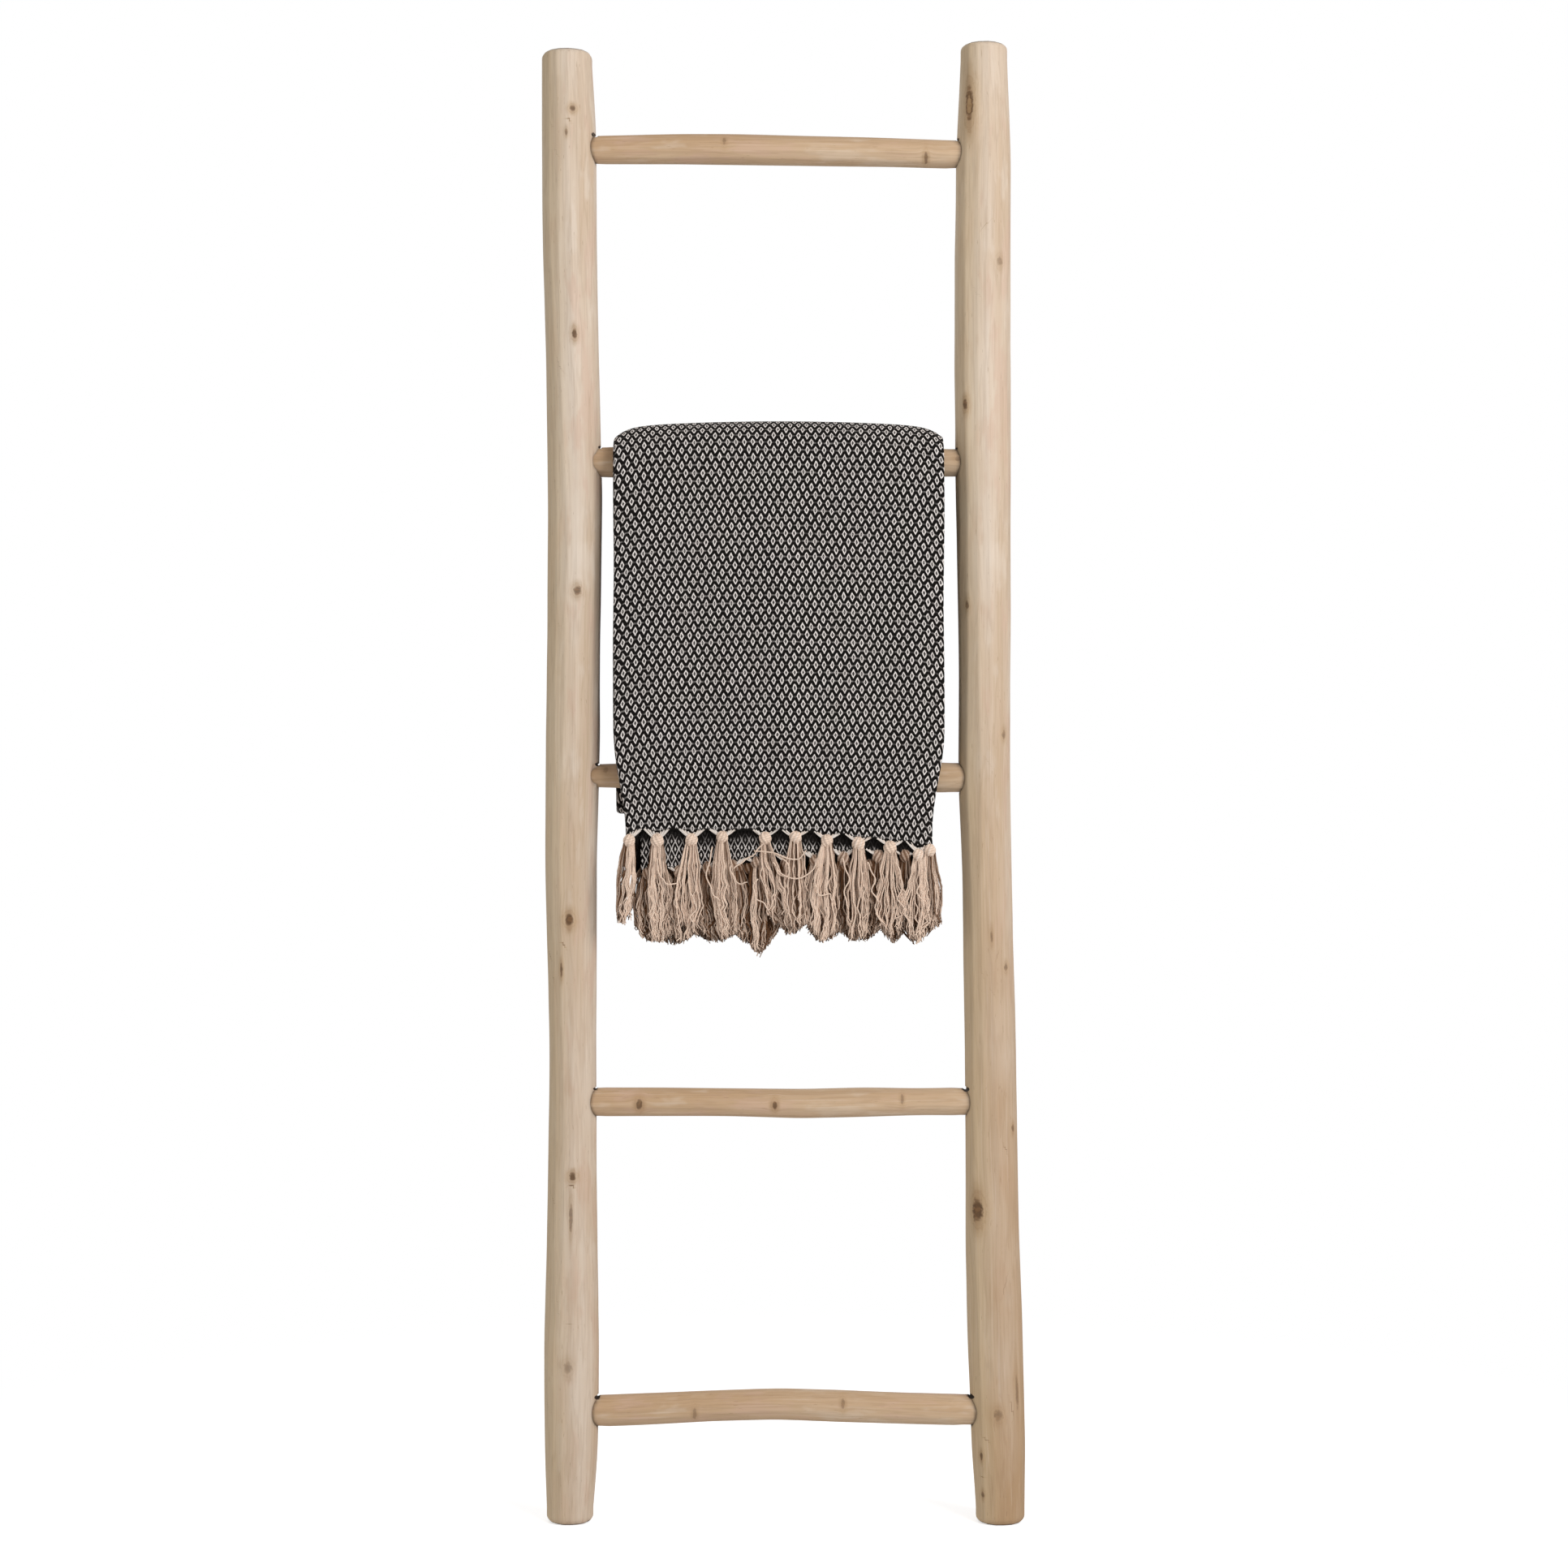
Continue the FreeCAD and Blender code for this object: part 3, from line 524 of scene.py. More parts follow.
# ---- Poles and rungs, measured on the solids of the frame ----
class Pole:
    """Centre line and radius of a rail or rung along its length, smoothed from the solid's own sizes."""

    def __init__(self, node, side):
        self.side = side
        self.low, self.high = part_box(node)
        self.tree = BVHTree.FromObject(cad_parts[node], bpy.context.evaluated_depsgraph_get())
        self.start, self.end = (self.low.z, self.high.z) if side else (self.low.x, self.high.x)

    def hit(self, start, direction):
        return self.tree.ray_cast(Vector(start), Vector(direction))[0]

    def measure_rail(self):
        """The side away from the rungs and the front are whole, so the sizes come from those."""
        far = self.side * 1.0
        places = np.arange(self.start + 2 * END_ROUNDING, self.end - 2 * END_ROUNDING, MEASURE_STEP)
        centres, radii = [], []
        for z in places:
            outer = self.hit((far, 0, z), (-far, 0, 0)).x
            guess = outer - self.side * ABOUT_RADIUS
            radius = -self.hit((guess, -1, z), (0, 1, 0)).y
            centres.append(outer - self.side * radius)
            radii.append(radius)
        return self.keep(places, centres, radii, RAIL_WINDOW)

    def measure_rung(self, left, right):
        """Between the whittled shoulders, from above and below."""
        places = np.arange(left + 2 * MEASURE_STEP, right - 2 * MEASURE_STEP, MEASURE_STEP)
        tops = np.array([self.hit((x, 0, 9), (0, 0, -1)).z for x in places])
        bottoms = np.array([self.hit((x, 0, -9), (0, 0, 1)).z for x in places])
        return self.keep(places, (tops + bottoms) / 2, (tops - bottoms) / 2, RUNG_WINDOW)

    def keep(self, places, centres, radii, window):
        """Smooths the measures along the pole."""
        half = max(1, round(window / MEASURE_STEP / 2))
        weights = np.hanning(2 * half + 3)[1:-1]
        weights /= weights.sum()

        def smooth(values):
            values = np.asarray(values, float)
            ahead = values[0] + (values[1] - values[0]) * np.arange(-half, 0)
            behind = values[-1] + (values[-1] - values[-2]) * np.arange(1, half + 1)
            return np.convolve(np.concatenate([ahead, values, behind]), weights, "valid")

        self.places, self.centres, self.radii = places, smooth(centres), smooth(radii)
        return self

    def centre(self, place):
        return np.interp(place, self.places, self.centres)

    def radius(self, place):
        return np.interp(place, self.places, self.radii)


def shaved(turns, places, radius, flats, seed):
    """Radius at each place and turn of a round blank that was shaved into long, wandering flats."""
    rng = np.random.default_rng(seed)
    blank = np.exp(-radius * 1.018 / FLAT_BLEND + radius / FLAT_BLEND)
    total = np.repeat(blank[:, None], len(turns), axis=1)
    for flat in range(flats):
        middle = 2 * math.pi * (flat + rng.uniform(-0.25, 0.25)) / flats
        middle = middle + 0.10 * wobble(places, 0.55, seed * 97 + flat)
        depth = radius * (0.987 + 0.012 * wobble(places, 0.30, seed * 53 + flat))
        reach = np.cos(turns[None, :] - middle[:, None])
        here = depth[:, None] / np.maximum(reach, 0.5)
        total += np.exp(-(here - radius[:, None]) / FLAT_BLEND)
    lumps = 1 + 0.004 * wobble(places, 0.16, seed + 7)[:, None]
    return (radius[:, None] - FLAT_BLEND * np.log(total)) * lumps


def knot_field(across, along, knots, round_it):
    """Nearest knot's own coordinates, its darkness, the sideways pull on the grain and the bump over it."""
    own = np.full((len(across), 3), (9.0, 9.0, 0.0))
    nearest = np.full(len(across), 9.0)
    pull, rise = np.zeros(len(across)), np.zeros(len(across))
    for knot_across, knot_along, wide, long, darkness in knots:
        sideways = ((across - knot_across + round_it / 2) % round_it - round_it / 2) / wide
        lengthwise = (along - knot_along) / long
        reach = np.hypot(sideways, lengthwise)
        closer = reach < nearest
        own[closer] = np.stack([sideways, lengthwise, np.full(len(across), darkness)], axis=1)[closer]
        nearest = np.minimum(nearest, reach)
        stretch = np.exp(-((along - knot_along) / (3.0 * long)) ** 2)
        pull -= 1.1 * wide * darkness * sideways / (1 + sideways ** 2) * stretch
        rise += darkness * (0.45 * np.exp(-(reach / 1.7) ** 2) - 0.55 * np.exp(-(reach / 0.5) ** 2))
    own[:, :2] = np.clip(own[:, :2], -9, 9)
    return own, pull, rise


def turned_knots(knots, radius_at):
    """Knots by place and share across, as (distance round the pole from its front, place, sizes, darkness)."""
    listed = []
    for place, share, wide, long, darkness in knots:
        place = place * MM
        listed.append((math.asin(share) * radius_at(place), place, wide * MM, long * MM, darkness))
    return listed


def rail(side, node, rungs):
    """One shaved pole with sanded ends and a socket for each rung."""
    pole = Pole(node, side).measure_rail()
    turns = full_turn(RAIL_SIDES)
    arc = np.linspace(0, math.pi / 2, END_RINGS)
    rise, inset = END_ROUNDING * (1 - np.sin(arc)), END_ROUNDING * (1 - np.cos(arc))
    body = np.arange(pole.start + END_ROUNDING, pole.end - END_ROUNDING, RAIL_STEP)[1:]
    heights = np.concatenate([pole.start + rise[::-1], body, pole.end - rise])
    insets = np.concatenate([inset[::-1], 0 * body, inset])
    radius = shaved(turns, heights, pole.radius(heights), RAIL_FLATS, RAIL_SEED[side]) - insets[:, None]
    foot, top = radius[:1] * CAP_RINGS[:, None], radius[-1:] * CAP_RINGS[::-1, None]
    radius = np.concatenate([foot, radius, top])
    heights = np.concatenate([np.full(len(CAP_RINGS), pole.start), heights, np.full(len(CAP_RINGS), pole.end)])
    x = pole.centre(heights)[:, None] + radius * np.cos(turns)
    y = radius * np.sin(turns)
    z = np.broadcast_to(heights[:, None], x.shape)
    piece = ring_mesh(node.replace("rail", "pole"), np.stack([x, y, z], axis=-1))
    for rung_pole in rungs.values():
        cut(piece, socket_cutter(pole, rung_pole, side))
    for rung_name, share in SPLITS[side]:
        middle, reach = split(pole, rungs[rung_name], side, share)
        cut(piece, lens(middle, reach, SPLIT_SIDES))
    for rung_name in FACETS[side]:
        middle, reach = facet(pole, rungs[rung_name], side)
        cut(piece, lens(middle, reach, FACET_SIDES))
    finish_rail(piece, pole, rungs, side)
    return pole, piece


def ring_mesh(name, rings):
    """Closed mesh through rings of equally many points, with a flat face at either end."""
    rows, columns = rings.shape[:2]
    faces = [list(face) for face in grid_faces(rows, columns, True)]
    faces.append(list(range(columns))[::-1])
    faces.append(list(range((rows - 1) * columns, rows * columns)))
    return mesh_object(name, rings.reshape(-1, 3), faces)


def mouth(pole, height, side, depth=0.0):
    """Where the pole's surface towards the rungs lies, at a height and a depth from the ladder's plane."""
    radius = pole.radius(height)
    return pole.centre(height) - side * np.sqrt(np.maximum(radius ** 2 - depth ** 2, 0))


def rung_joint(pole, rung_pole, side):
    """Height and radius of a rung where it meets a rail, and the rail's surface there."""
    end = rung_pole.places[0] if side == LEFT else rung_pole.places[-1]
    height = float(rung_pole.centre(end))
    return height, float(rung_pole.radius(end)), float(mouth(pole, height, side))


def socket_cutter(pole, rung_pole, side):
    height, radius, surface = rung_joint(pole, rung_pole, side)
    turns = full_turn(SOCKET_SIDES)
    reach = radius + SOCKET_GAP
    x = np.array(sorted([surface - side * reach, surface + side * (TENON_DEPTH + SOCKET_END)]))
    rings = [[(place, reach * math.cos(turn), height + reach * math.sin(turn)) for turn in turns] for place in x]
    return ring_mesh("cutter", np.array(rings))


def lens(middle, reach, sides):
    """Ellipsoid that cuts a notch."""
    turns = full_turn(sides)
    falls = np.linspace(0.02, math.pi - 0.02, sides // 2 + 1)
    rings = [[(middle[0] + reach[0] * math.sin(fall) * math.cos(turn), middle[1] - reach[1] * math.cos(fall),
               middle[2] - reach[2] * math.sin(fall) * math.sin(turn)) for turn in turns] for fall in falls]
    return ring_mesh("cutter", np.array(rings))


def split(pole, rung_pole, side, share):
    """Middle and reach of the notch over a rung."""
    height, radius, surface = rung_joint(pole, rung_pole, side)
    size = SPLIT_SIZE * (share, 1, share)
    return np.array((surface + side * 0.8 * MM, -6 * MM, height + radius - 0.5 * MM)), size


def facet(pole, rung_pole, side):
    """Middle and reach of the hollow whittled into a rail in front of a rung that goes in deeper than its back."""
    height, radius, surface = rung_joint(pole, rung_pole, side)
    return (surface - side * MM, -radius - FACET[1] * FACET_FORWARD, height), (FACET[0], FACET[1], radius + FACET[2])


def finish_rail(piece, pole, rungs, side):
    """Knot bumps, grain, dark joints and painted shade of a rail."""
    co = points_of(piece)
    centre, radius = pole.centre(co[:, 2]), pole.radius(co[:, 2])
    out = co[:, 0] - centre
    turn = np.arctan2(out, -co[:, 1])
    reach = np.hypot(out, co[:, 1])
    knots = turned_knots(RAIL_KNOTS[side], pole.radius) + back_knots(pole, RAIL_SEED[side])
    own, pull, rise = knot_field(turn * radius, co[:, 2], knots, 2 * math.pi * radius)
    skin = reach > radius - KNOT_SKIN
    ends = (co[:, 2] < pole.start + SAWN_SKIN) | (co[:, 2] > pole.end - SAWN_SKIN)
    lift = np.where(skin & ~ends, rise * MM, 0)
    straight = np.stack([out + pull * np.cos(turn), co[:, 1] + pull * np.sin(turn), co[:, 2]], axis=1)
    co[:, 0] += lift * np.sin(turn)
    co[:, 1] -= lift * np.cos(turn)
    piece.data.vertices.foreach_set("co", co.ravel())

    # Painted shade inside the sockets, none in the whittled hollows, and dark joints, partly painted shade, round the
    # rungs and pins
    stain_and_shade = np.where((reach < radius - SOCKET_SKIN) & ~ends, 1.0, 0.0)
    for rung_name in FACETS[side]:
        middle, extent = facet(pole, rungs[rung_name], side)
        share = np.linalg.norm((co - np.array(middle)) / extent, axis=1)
        stain_and_shade = np.where(share < 1.03, 0.0, stain_and_shade)
    for rung_pole in rungs.values():
        height, rung_radius, surface = rung_joint(pole, rung_pole, side)
        away = np.hypot(co[:, 1], co[:, 2] - height) - rung_radius - SOCKET_GAP
        pin_away = np.hypot(co[:, 0] - surface - side * TENON_DEPTH / 2, co[:, 2] - height) - PIN_RADIUS
        stain_and_shade = np.maximum(stain_and_shade, np.where((out * side < 0) & ~ends, faded(away, SOCKET_STAIN_AND_SHADE), 0))
        stain_and_shade = np.maximum(stain_and_shade, np.where(co[:, 1] > 0, faded(pin_away, PIN_STAIN_AND_SHADE), 0))
    # Painted shade, darker towards the rail's foot
    lower, foot = (ease((height - co[:, 2]) / span) for height, span in LOW_SHADE_ZONES)
    all_over, lower_share, foot_share = LOW_SHADE[side]
    low_shade = all_over + lower_share * lower + foot_share * foot
    write_wood(piece, straight, own, stain_and_shade, np.where(ends, 1.0, 0.0), low_shade)


def faded(away, stain_and_shade):
    """Darkness of a dark joint, partly painted shade, at a distance from the joint."""
    darkness, reach = stain_and_shade
    return darkness * np.exp(-np.maximum(away, 0) / reach)


def write_wood(piece, grain, knot, stain_and_shade, sawn, low):
    """The attributes that the wood material reads."""
    for name, values in (("grain", grain), ("knot", knot), ("stain_and_shade", stain_and_shade), ("sawn", sawn), ("low", low)):
        set_attribute(piece, name, values)
    piece.data.set_sharp_from_angle(angle=math.radians(38))


def back_knots(pole, seed):
    """Knots on the sides and the back of a rail, in the same form as turned_knots gives."""
    rng = np.random.default_rng(seed + 500)
    listed = []
    for knot in range(BACK_KNOTS):
        place = pole.start + (knot + rng.uniform(0.3, 0.8)) / BACK_KNOTS * (pole.end - pole.start)
        turn = rng.uniform(0.55, 1.45) * math.pi
        wide = rng.uniform(2.2, 5.0) * MM
        listed.append((turn * pole.radius(place), place, wide, wide * rng.uniform(1.0, 2.4), rng.uniform(0.35, 0.95)))
    return listed


def rung(name, rung_pole, poles):
    """One bent branch rung, let into both rails at nearly its full size."""
    ends = [rung_joint(poles[side], rung_pole, side)[2] + side * TENON_DEPTH for side in (LEFT, RIGHT)]
    places = np.linspace(ends[0], ends[1], round((ends[1] - ends[0]) / RUNG_STEP))
    turns = full_turn(RUNG_SIDES)
    radius = shaved(turns, places, rung_pole.radius(places), RUNG_FLATS, RUNG_SEED + int(name[-1]))
    inside = np.maximum(rung_pole.places[0] - places, places - rung_pole.places[-1])
    radius = radius - WHITTLED * ease(inside / (12 * MM))[:, None]
    centre = rung_pole.centre(places)
    y, z = radius * np.cos(turns), centre[:, None] + radius * np.sin(turns)
    x = np.broadcast_to(places[:, None], y.shape)
    piece = ring_mesh(name.replace("rung", "branch_rung"), np.stack([x, y, z], axis=-1))
    notches = [split(poles[side], rung_pole, side, share) for side in (LEFT, RIGHT)
               for rung_name, share in SPLITS[side] if rung_name == name]
    for middle, reach in notches:
        cut(piece, lens(middle, reach, SPLIT_SIDES))

    co = points_of(piece)
    radius, rise = rung_pole.radius(co[:, 0]), co[:, 2] - rung_pole.centre(co[:, 0])
    turn = np.arctan2(rise, -co[:, 1])
    knots = turned_knots(RUNG_KNOTS[name], rung_pole.radius)
    own, pull, bump = knot_field(turn * radius, co[:, 0], knots, 2 * math.pi * radius)
    straight = np.stack([co[:, 1] + pull * np.sin(turn), rise + pull * np.cos(turn), co[:, 0]], axis=1)
    co[:, 1] -= bump * RUNG_KNOT_RISE * np.cos(turn)
    co[:, 2] += bump * RUNG_KNOT_RISE * np.sin(turn)
    piece.data.vertices.foreach_set("co", co.ravel())
    # Dark joints, partly painted shade, where the rung goes into each rail, and painted shade inside the notches
    gaps = [(mouth(poles[side], co[:, 2], side, co[:, 1]) - co[:, 0]) * side +
            np.where((co[:, 1] < 0) & (name in FACETS[side]), FACET[0] - 3 * MM, 0) for side in (LEFT, RIGHT)]
    stain_and_shade = faded(np.minimum(*gaps), RUNG_STAIN_AND_SHADE)
    for middle, reach in notches:
        stain_and_shade = np.where(np.linalg.norm((co - middle) / reach, axis=1) < 1.06, 1.0, stain_and_shade)
    write_wood(piece, straight, own, stain_and_shade, np.zeros(len(co)), np.zeros(len(co)))
    return piece


def pin(name, side, pole, back, rung_pole, rng):
    """One riven pin, whose head stands a little out of the rail's back."""
    height, rung_radius, surface = rung_joint(pole, rung_pole, side)
    x = surface + side * TENON_DEPTH / 2
    head = back.ray_cast(Vector((x, 1, height)), Vector((0, -1, 0)))[0].y + PIN_PROUD
    turns = 2 * math.pi * (np.arange(PIN_SIDES) + rng.uniform(-0.12, 0.12, PIN_SIDES)) / PIN_SIDES
    stations = np.array([(-rung_radius - PIN_PAST_TENON, 0.72), (-rung_radius, 0.94), (head - 0.5 * MM, 1.0),
                         (head, 0.86), (head + 0.15 * MM, 0.4)])
    reach = PIN_RADIUS * stations[:, 1:]
    across, up = reach * np.cos(turns), reach * np.sin(turns)
    y = np.broadcast_to(stations[:, :1], across.shape)
    piece = ring_mesh(name, np.stack([x + across, y, height + up], -1)[:, ::-1])
    grain = np.stack([across, up, y], -1)[:, ::-1].reshape(-1, 3)
    nothing = np.zeros(len(grain))
    write_wood(piece, grain, np.full((len(grain), 3), (9.0, 9.0, 0.0)), nothing,
               np.where(grain[:, 2] > head - 0.2 * MM, 1.0, 0.0), nothing)
    return piece


# ---- Throw ----
def fold_across(width, pitch):
    """How the cloth's width lies in the flap, from one selvedge to the other: place across, layer counted from the
    outside, panel and distance over the cloth."""
    across, layer, panel = [], [], []

    def run(start, end, level, count, number):
        across.extend(np.linspace(start, end, count))
        layer.extend([level] * count)
        panel.extend([number] * count)

    def turn_over(middle, side, first, last, count, number):
        for step in np.linspace(0, math.pi, count + 2)[1:-1]:
            across.append(middle + side * abs(last - first) / 2 * pitch * math.sin(step))
            layer.append(first + (last - first) * (1 - math.cos(step)) / 2)
            panel.append(number + step / math.pi)

    tight, wide = 0.5 * pitch, 1.5 * pitch
    left_inner = wide + 2 * tight
    run(width - 3 * MM, left_inner, 2, 42, 0)
    turn_over(left_inner, LEFT, 2, 1, 5, 0)
    run(left_inner, width - tight, 1, 52, 1)
    turn_over(width - tight, RIGHT, 1, 0, 5, 1)
    run(width - tight, wide, 0, 66, 2)
    turn_over(wide, LEFT, 0, 3, 8, 2)
    run(wide, width - 5 * MM, 3, 42, 3)
    across, layer, panel = np.array(across), np.array(layer), np.array(panel)
    over = np.concatenate([[0], np.cumsum(np.hypot(np.diff(across), pitch * np.diff(layer)))])
    return across, layer, panel, over


def at_share(points, share):
    shares, heights = zip(*points)
    return np.interp(share, shares, heights) * MM


def hem_heights(share, panel, hems):
    """Height of the hem in each column: hems are those of the four panels, in their order over the cloth."""
    rows = np.array([at_share(hem, share) for hem in hems])
    low = np.clip(np.floor(panel).astype(int), 0, 3)
    high = np.clip(low + 1, 0, 3)
    columns = np.arange(len(share))
    return rows[low, columns] + (rows[high, columns] - rows[low, columns]) * (panel - low)


def drawn_down(x, knots, layer_share):
    """How far the hem is drawn down at its tassels."""
    total = np.zeros_like(x)
    for knot in knots:
        total = np.maximum(total, np.exp(-((x - knot * MM) / (6.5 * MM)) ** 2))
    return SCALLOP * total * layer_share


class Throw:
    """Places of the folded cloth around rung 2."""

    def __init__(self, rung_pole):
        self.low, self.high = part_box("throw")
        self.left, self.right = self.low.x + SIDE_GAP, self.high.x - SIDE_GAP
        self.width = self.right - self.left
        self.height = float(rung_pole.centre(0.0))
        self.nearest = float(rung_pole.radius(0.0)) + RUNG_CLEARANCE
        self.pitch = (-self.low.y - FRONT_GAP - self.nearest) / (LAYERS - 1)
        self.crown = (self.high.z - CLOTH - self.height - self.nearest) / (LAYERS - 1)
        self.turn_height = BACK_FOLD + (LAYERS - 1) / 2 * self.pitch

    def across(self, share, layer, height, front):
        """Place along the rung; the front flap narrows to its hem and its inner fold lies further in there."""
        down = ease((TAPER_FROM - height) / (TAPER_FROM - FRONT_HEM_HEIGHT)) * front
        narrow = 1 - 2 * TAPER / self.width * down
        shifted = 0.5 + (share - 0.5) * narrow
        inner = np.clip(1 - np.abs(layer - 1.5) / 1.0, 0, 1) ** 0.5
        shifted = shifted + SECOND_INSET / self.width * (1 - share) ** 2 * down * inner
        behind = ease((BACK_TAPER_FROM - height) / (BACK_TAPER_FROM - self.turn_height)) * (1 - front)
        shifted = shifted - BACK_TAPER / self.width * share ** 2 * behind
        drift = DRIFT * np.sin(height * 31 + layer * 2.1)
        return self.left + shifted * self.width + drift

    def swell(self, share, height, hem, seed):
        """How far a hanging face stands out from plumb: its belly and its soft folds."""
        drop = np.clip((self.height - height) / (self.height - hem), 0, 1)
        ramp = ease(drop / 0.35)
        folds = np.sin(2 * math.pi * BROAD_FOLDS * share + 0.5 * seed + 1.1 * drop)
        folds = folds + FINE_SHARE * np.sin(2 * math.pi * FINE_FOLDS * share + 2.0 * seed - 2.4 * drop)
        return BELLY * np.sin(math.pi * drop) + RIPPLE * ramp * folds

    def outward(self, layer):
        return self.nearest + (LAYERS - 1 - layer) * self.pitch

    def flap(self, share, layer, height, hem, side):
        weight = (LAYERS - layer) / LAYERS
        return side * (self.outward(layer) + weight * self.swell(share, height, hem, side))

    def over(self, share, layer, turn):
        """Over the rung, where the layers puff up, and sink again towards the side folds."""
        sink = CROWN_FALL * (2 * share - 1) ** 2 + CROWN_CORNER_FALL * np.abs(2 * share - 1) ** 14
        top = self.crown - sink / (LAYERS - 1)
        pitch = self.pitch + (top - self.pitch) * math.sin(turn) ** 2
        reach = self.nearest + (LAYERS - 1 - layer) * pitch
        return -reach * math.cos(turn), self.height + reach * math.sin(turn)

    def turn_under(self, layer, turn):
        """Round the folded edge behind, from the outside of the flap to its inside."""
        middle = self.nearest + (LAYERS - 1) / 2 * self.pitch
        reach = ((LAYERS - 1) / 2 - layer) * self.pitch
        return middle + reach * math.cos(turn), self.turn_height - reach * math.sin(turn)


def throw_rows(throw, share, layer, outer_hem, inner_hem):
    """Rows of points over the whole length of the cloth, as (y, z, layer, whether the row is in the front flap)."""
    inner = LAYERS - 1 - layer
    waist, fold = throw.height, throw.turn_height
    back_hem = fold - BACK_SWELL_DROP
    rows = []

    def hang(level, start, end, shares, hem, side):
        for part in shares:
            z = start + (end - start) * part
            rows.append((throw.flap(share, level, z, hem, side), z, level, side < 0))

    def over(level, turns):
        for turn in turns:
            rows.append((*throw.over(share, level, turn), level, 0))

    close = np.linspace(0, HEM_ROWS_SHARE, HEM_ROWS + 1)[:-1]
    front = np.concatenate([close, np.linspace(HEM_ROWS_SHARE, 1, FRONT_ROWS)])[:-1]
    hang(layer, outer_hem, waist, front, outer_hem, -1)
    over(layer, np.linspace(0, math.pi, CROWN_ROWS))
    hang(layer, waist, fold, np.linspace(0, 1, BACK_ROWS)[1:], back_hem, 1)
    settle, inner_settle = (throw.flap(share, level, rows[-1][1], back_hem, 1) - throw.outward(level)
                            for level in (layer, inner))
    for turn in np.linspace(0, math.pi, FOLD_ROWS + 2)[1:-1]:
        y, z = throw.turn_under(layer, turn)
        blend = turn / math.pi
        rows.append((y + settle * (1 - blend) + inner_settle * blend, z, layer, 0))
    hang(inner, waist, fold, np.linspace(1, 0, BACK_ROWS)[:-1], back_hem, 1)
    over(inner, np.linspace(math.pi, 0, CROWN_ROWS))
    hang(inner, inner_hem, waist, np.linspace(1, 0, INNER_FRONT_ROWS)[1:], inner_hem, -1)
    return rows


def throw_piece(throw, obverse, reverse):
    """The whole cloth as one sheet, folded into eight layers, with its own flat measures as its map."""
    across, layer, panel, over = fold_across(throw.width, throw.pitch)
    share = across / throw.width
    first, second = layer < 0.5, (layer > 0.5) & (layer < 1.5)
    outer_hem = hem_heights(share, panel, (INNER_HEMS[0], SECOND_HEM, FRONT_HEM, INNER_HEMS[1]))
    inner_hem = hem_heights(share, panel, (INNER_HEMS[3], INNER_HEMS[4], INNER_HEMS[5], INNER_HEMS[2]))
    here = throw.across(share, layer, outer_hem, 1)
    for tassels, columns in ((FRONT_TASSELS, first), (SECOND_TASSELS, second)):
        outer_hem = outer_hem - drawn_down(here, [row[0] for row in tassels], columns)
    rows = np.array([np.stack(np.broadcast_arrays(throw.across(share, level, z, front), y, z), axis=-1)
                     for y, z, level, front in throw_rows(throw, share, layer, outer_hem, inner_hem)])
    steps = np.linalg.norm(np.diff(rows, axis=0), axis=-1)
    along = np.concatenate([np.zeros((1, len(share))), np.cumsum(steps, axis=0)])
    crown = along[HEM_ROWS + FRONT_ROWS - 1 + CROWN_ROWS // 2]
    piece = mesh_object("throw_cloth", rows.reshape(-1, 3), grid_faces(len(rows), len(share), False)[:, ::-1])
    set_map(piece, "cloth", np.stack([np.broadcast_to(over, along.shape), along - crown + 0.5], axis=-1).reshape(-1, 2))
    set_attribute(piece, "hem", np.minimum(along, along[-1] - along).ravel())

    front = np.flatnonzero(layer == 0)
    front = front[np.argsort(here[front])]
    lip = np.interp(rows[..., 0], here[front], outer_hem[front])
    deep, soft = HEM_SHADE
    shade = ease((rows[..., 2] - lip + deep) / soft) * second
    shade = shade + ease((lip - rows[..., 2]) / soft) * (layer > 1.5) * (layer < LAYERS - 1.5)
    set_attribute(piece, "shade", (shade * (rows[..., 2] < lip + deep)).ravel())
    piece.data.materials.append(obverse)
    piece.data.materials.append(reverse)
    thick = piece.modifiers.new("thickness", "SOLIDIFY")
    thick.thickness, thick.offset, thick.material_offset = CLOTH, 0.0, 1
    hems = []
    for level in (0, 1):
        columns = np.flatnonzero(layer == level)
        columns = columns[np.argsort(rows[0, columns, 0])]
        hems.append((rows[0, columns, 0], rows[0, columns, 2]))
    return piece, (float(over[-1]), float(along[-1].mean())), hems


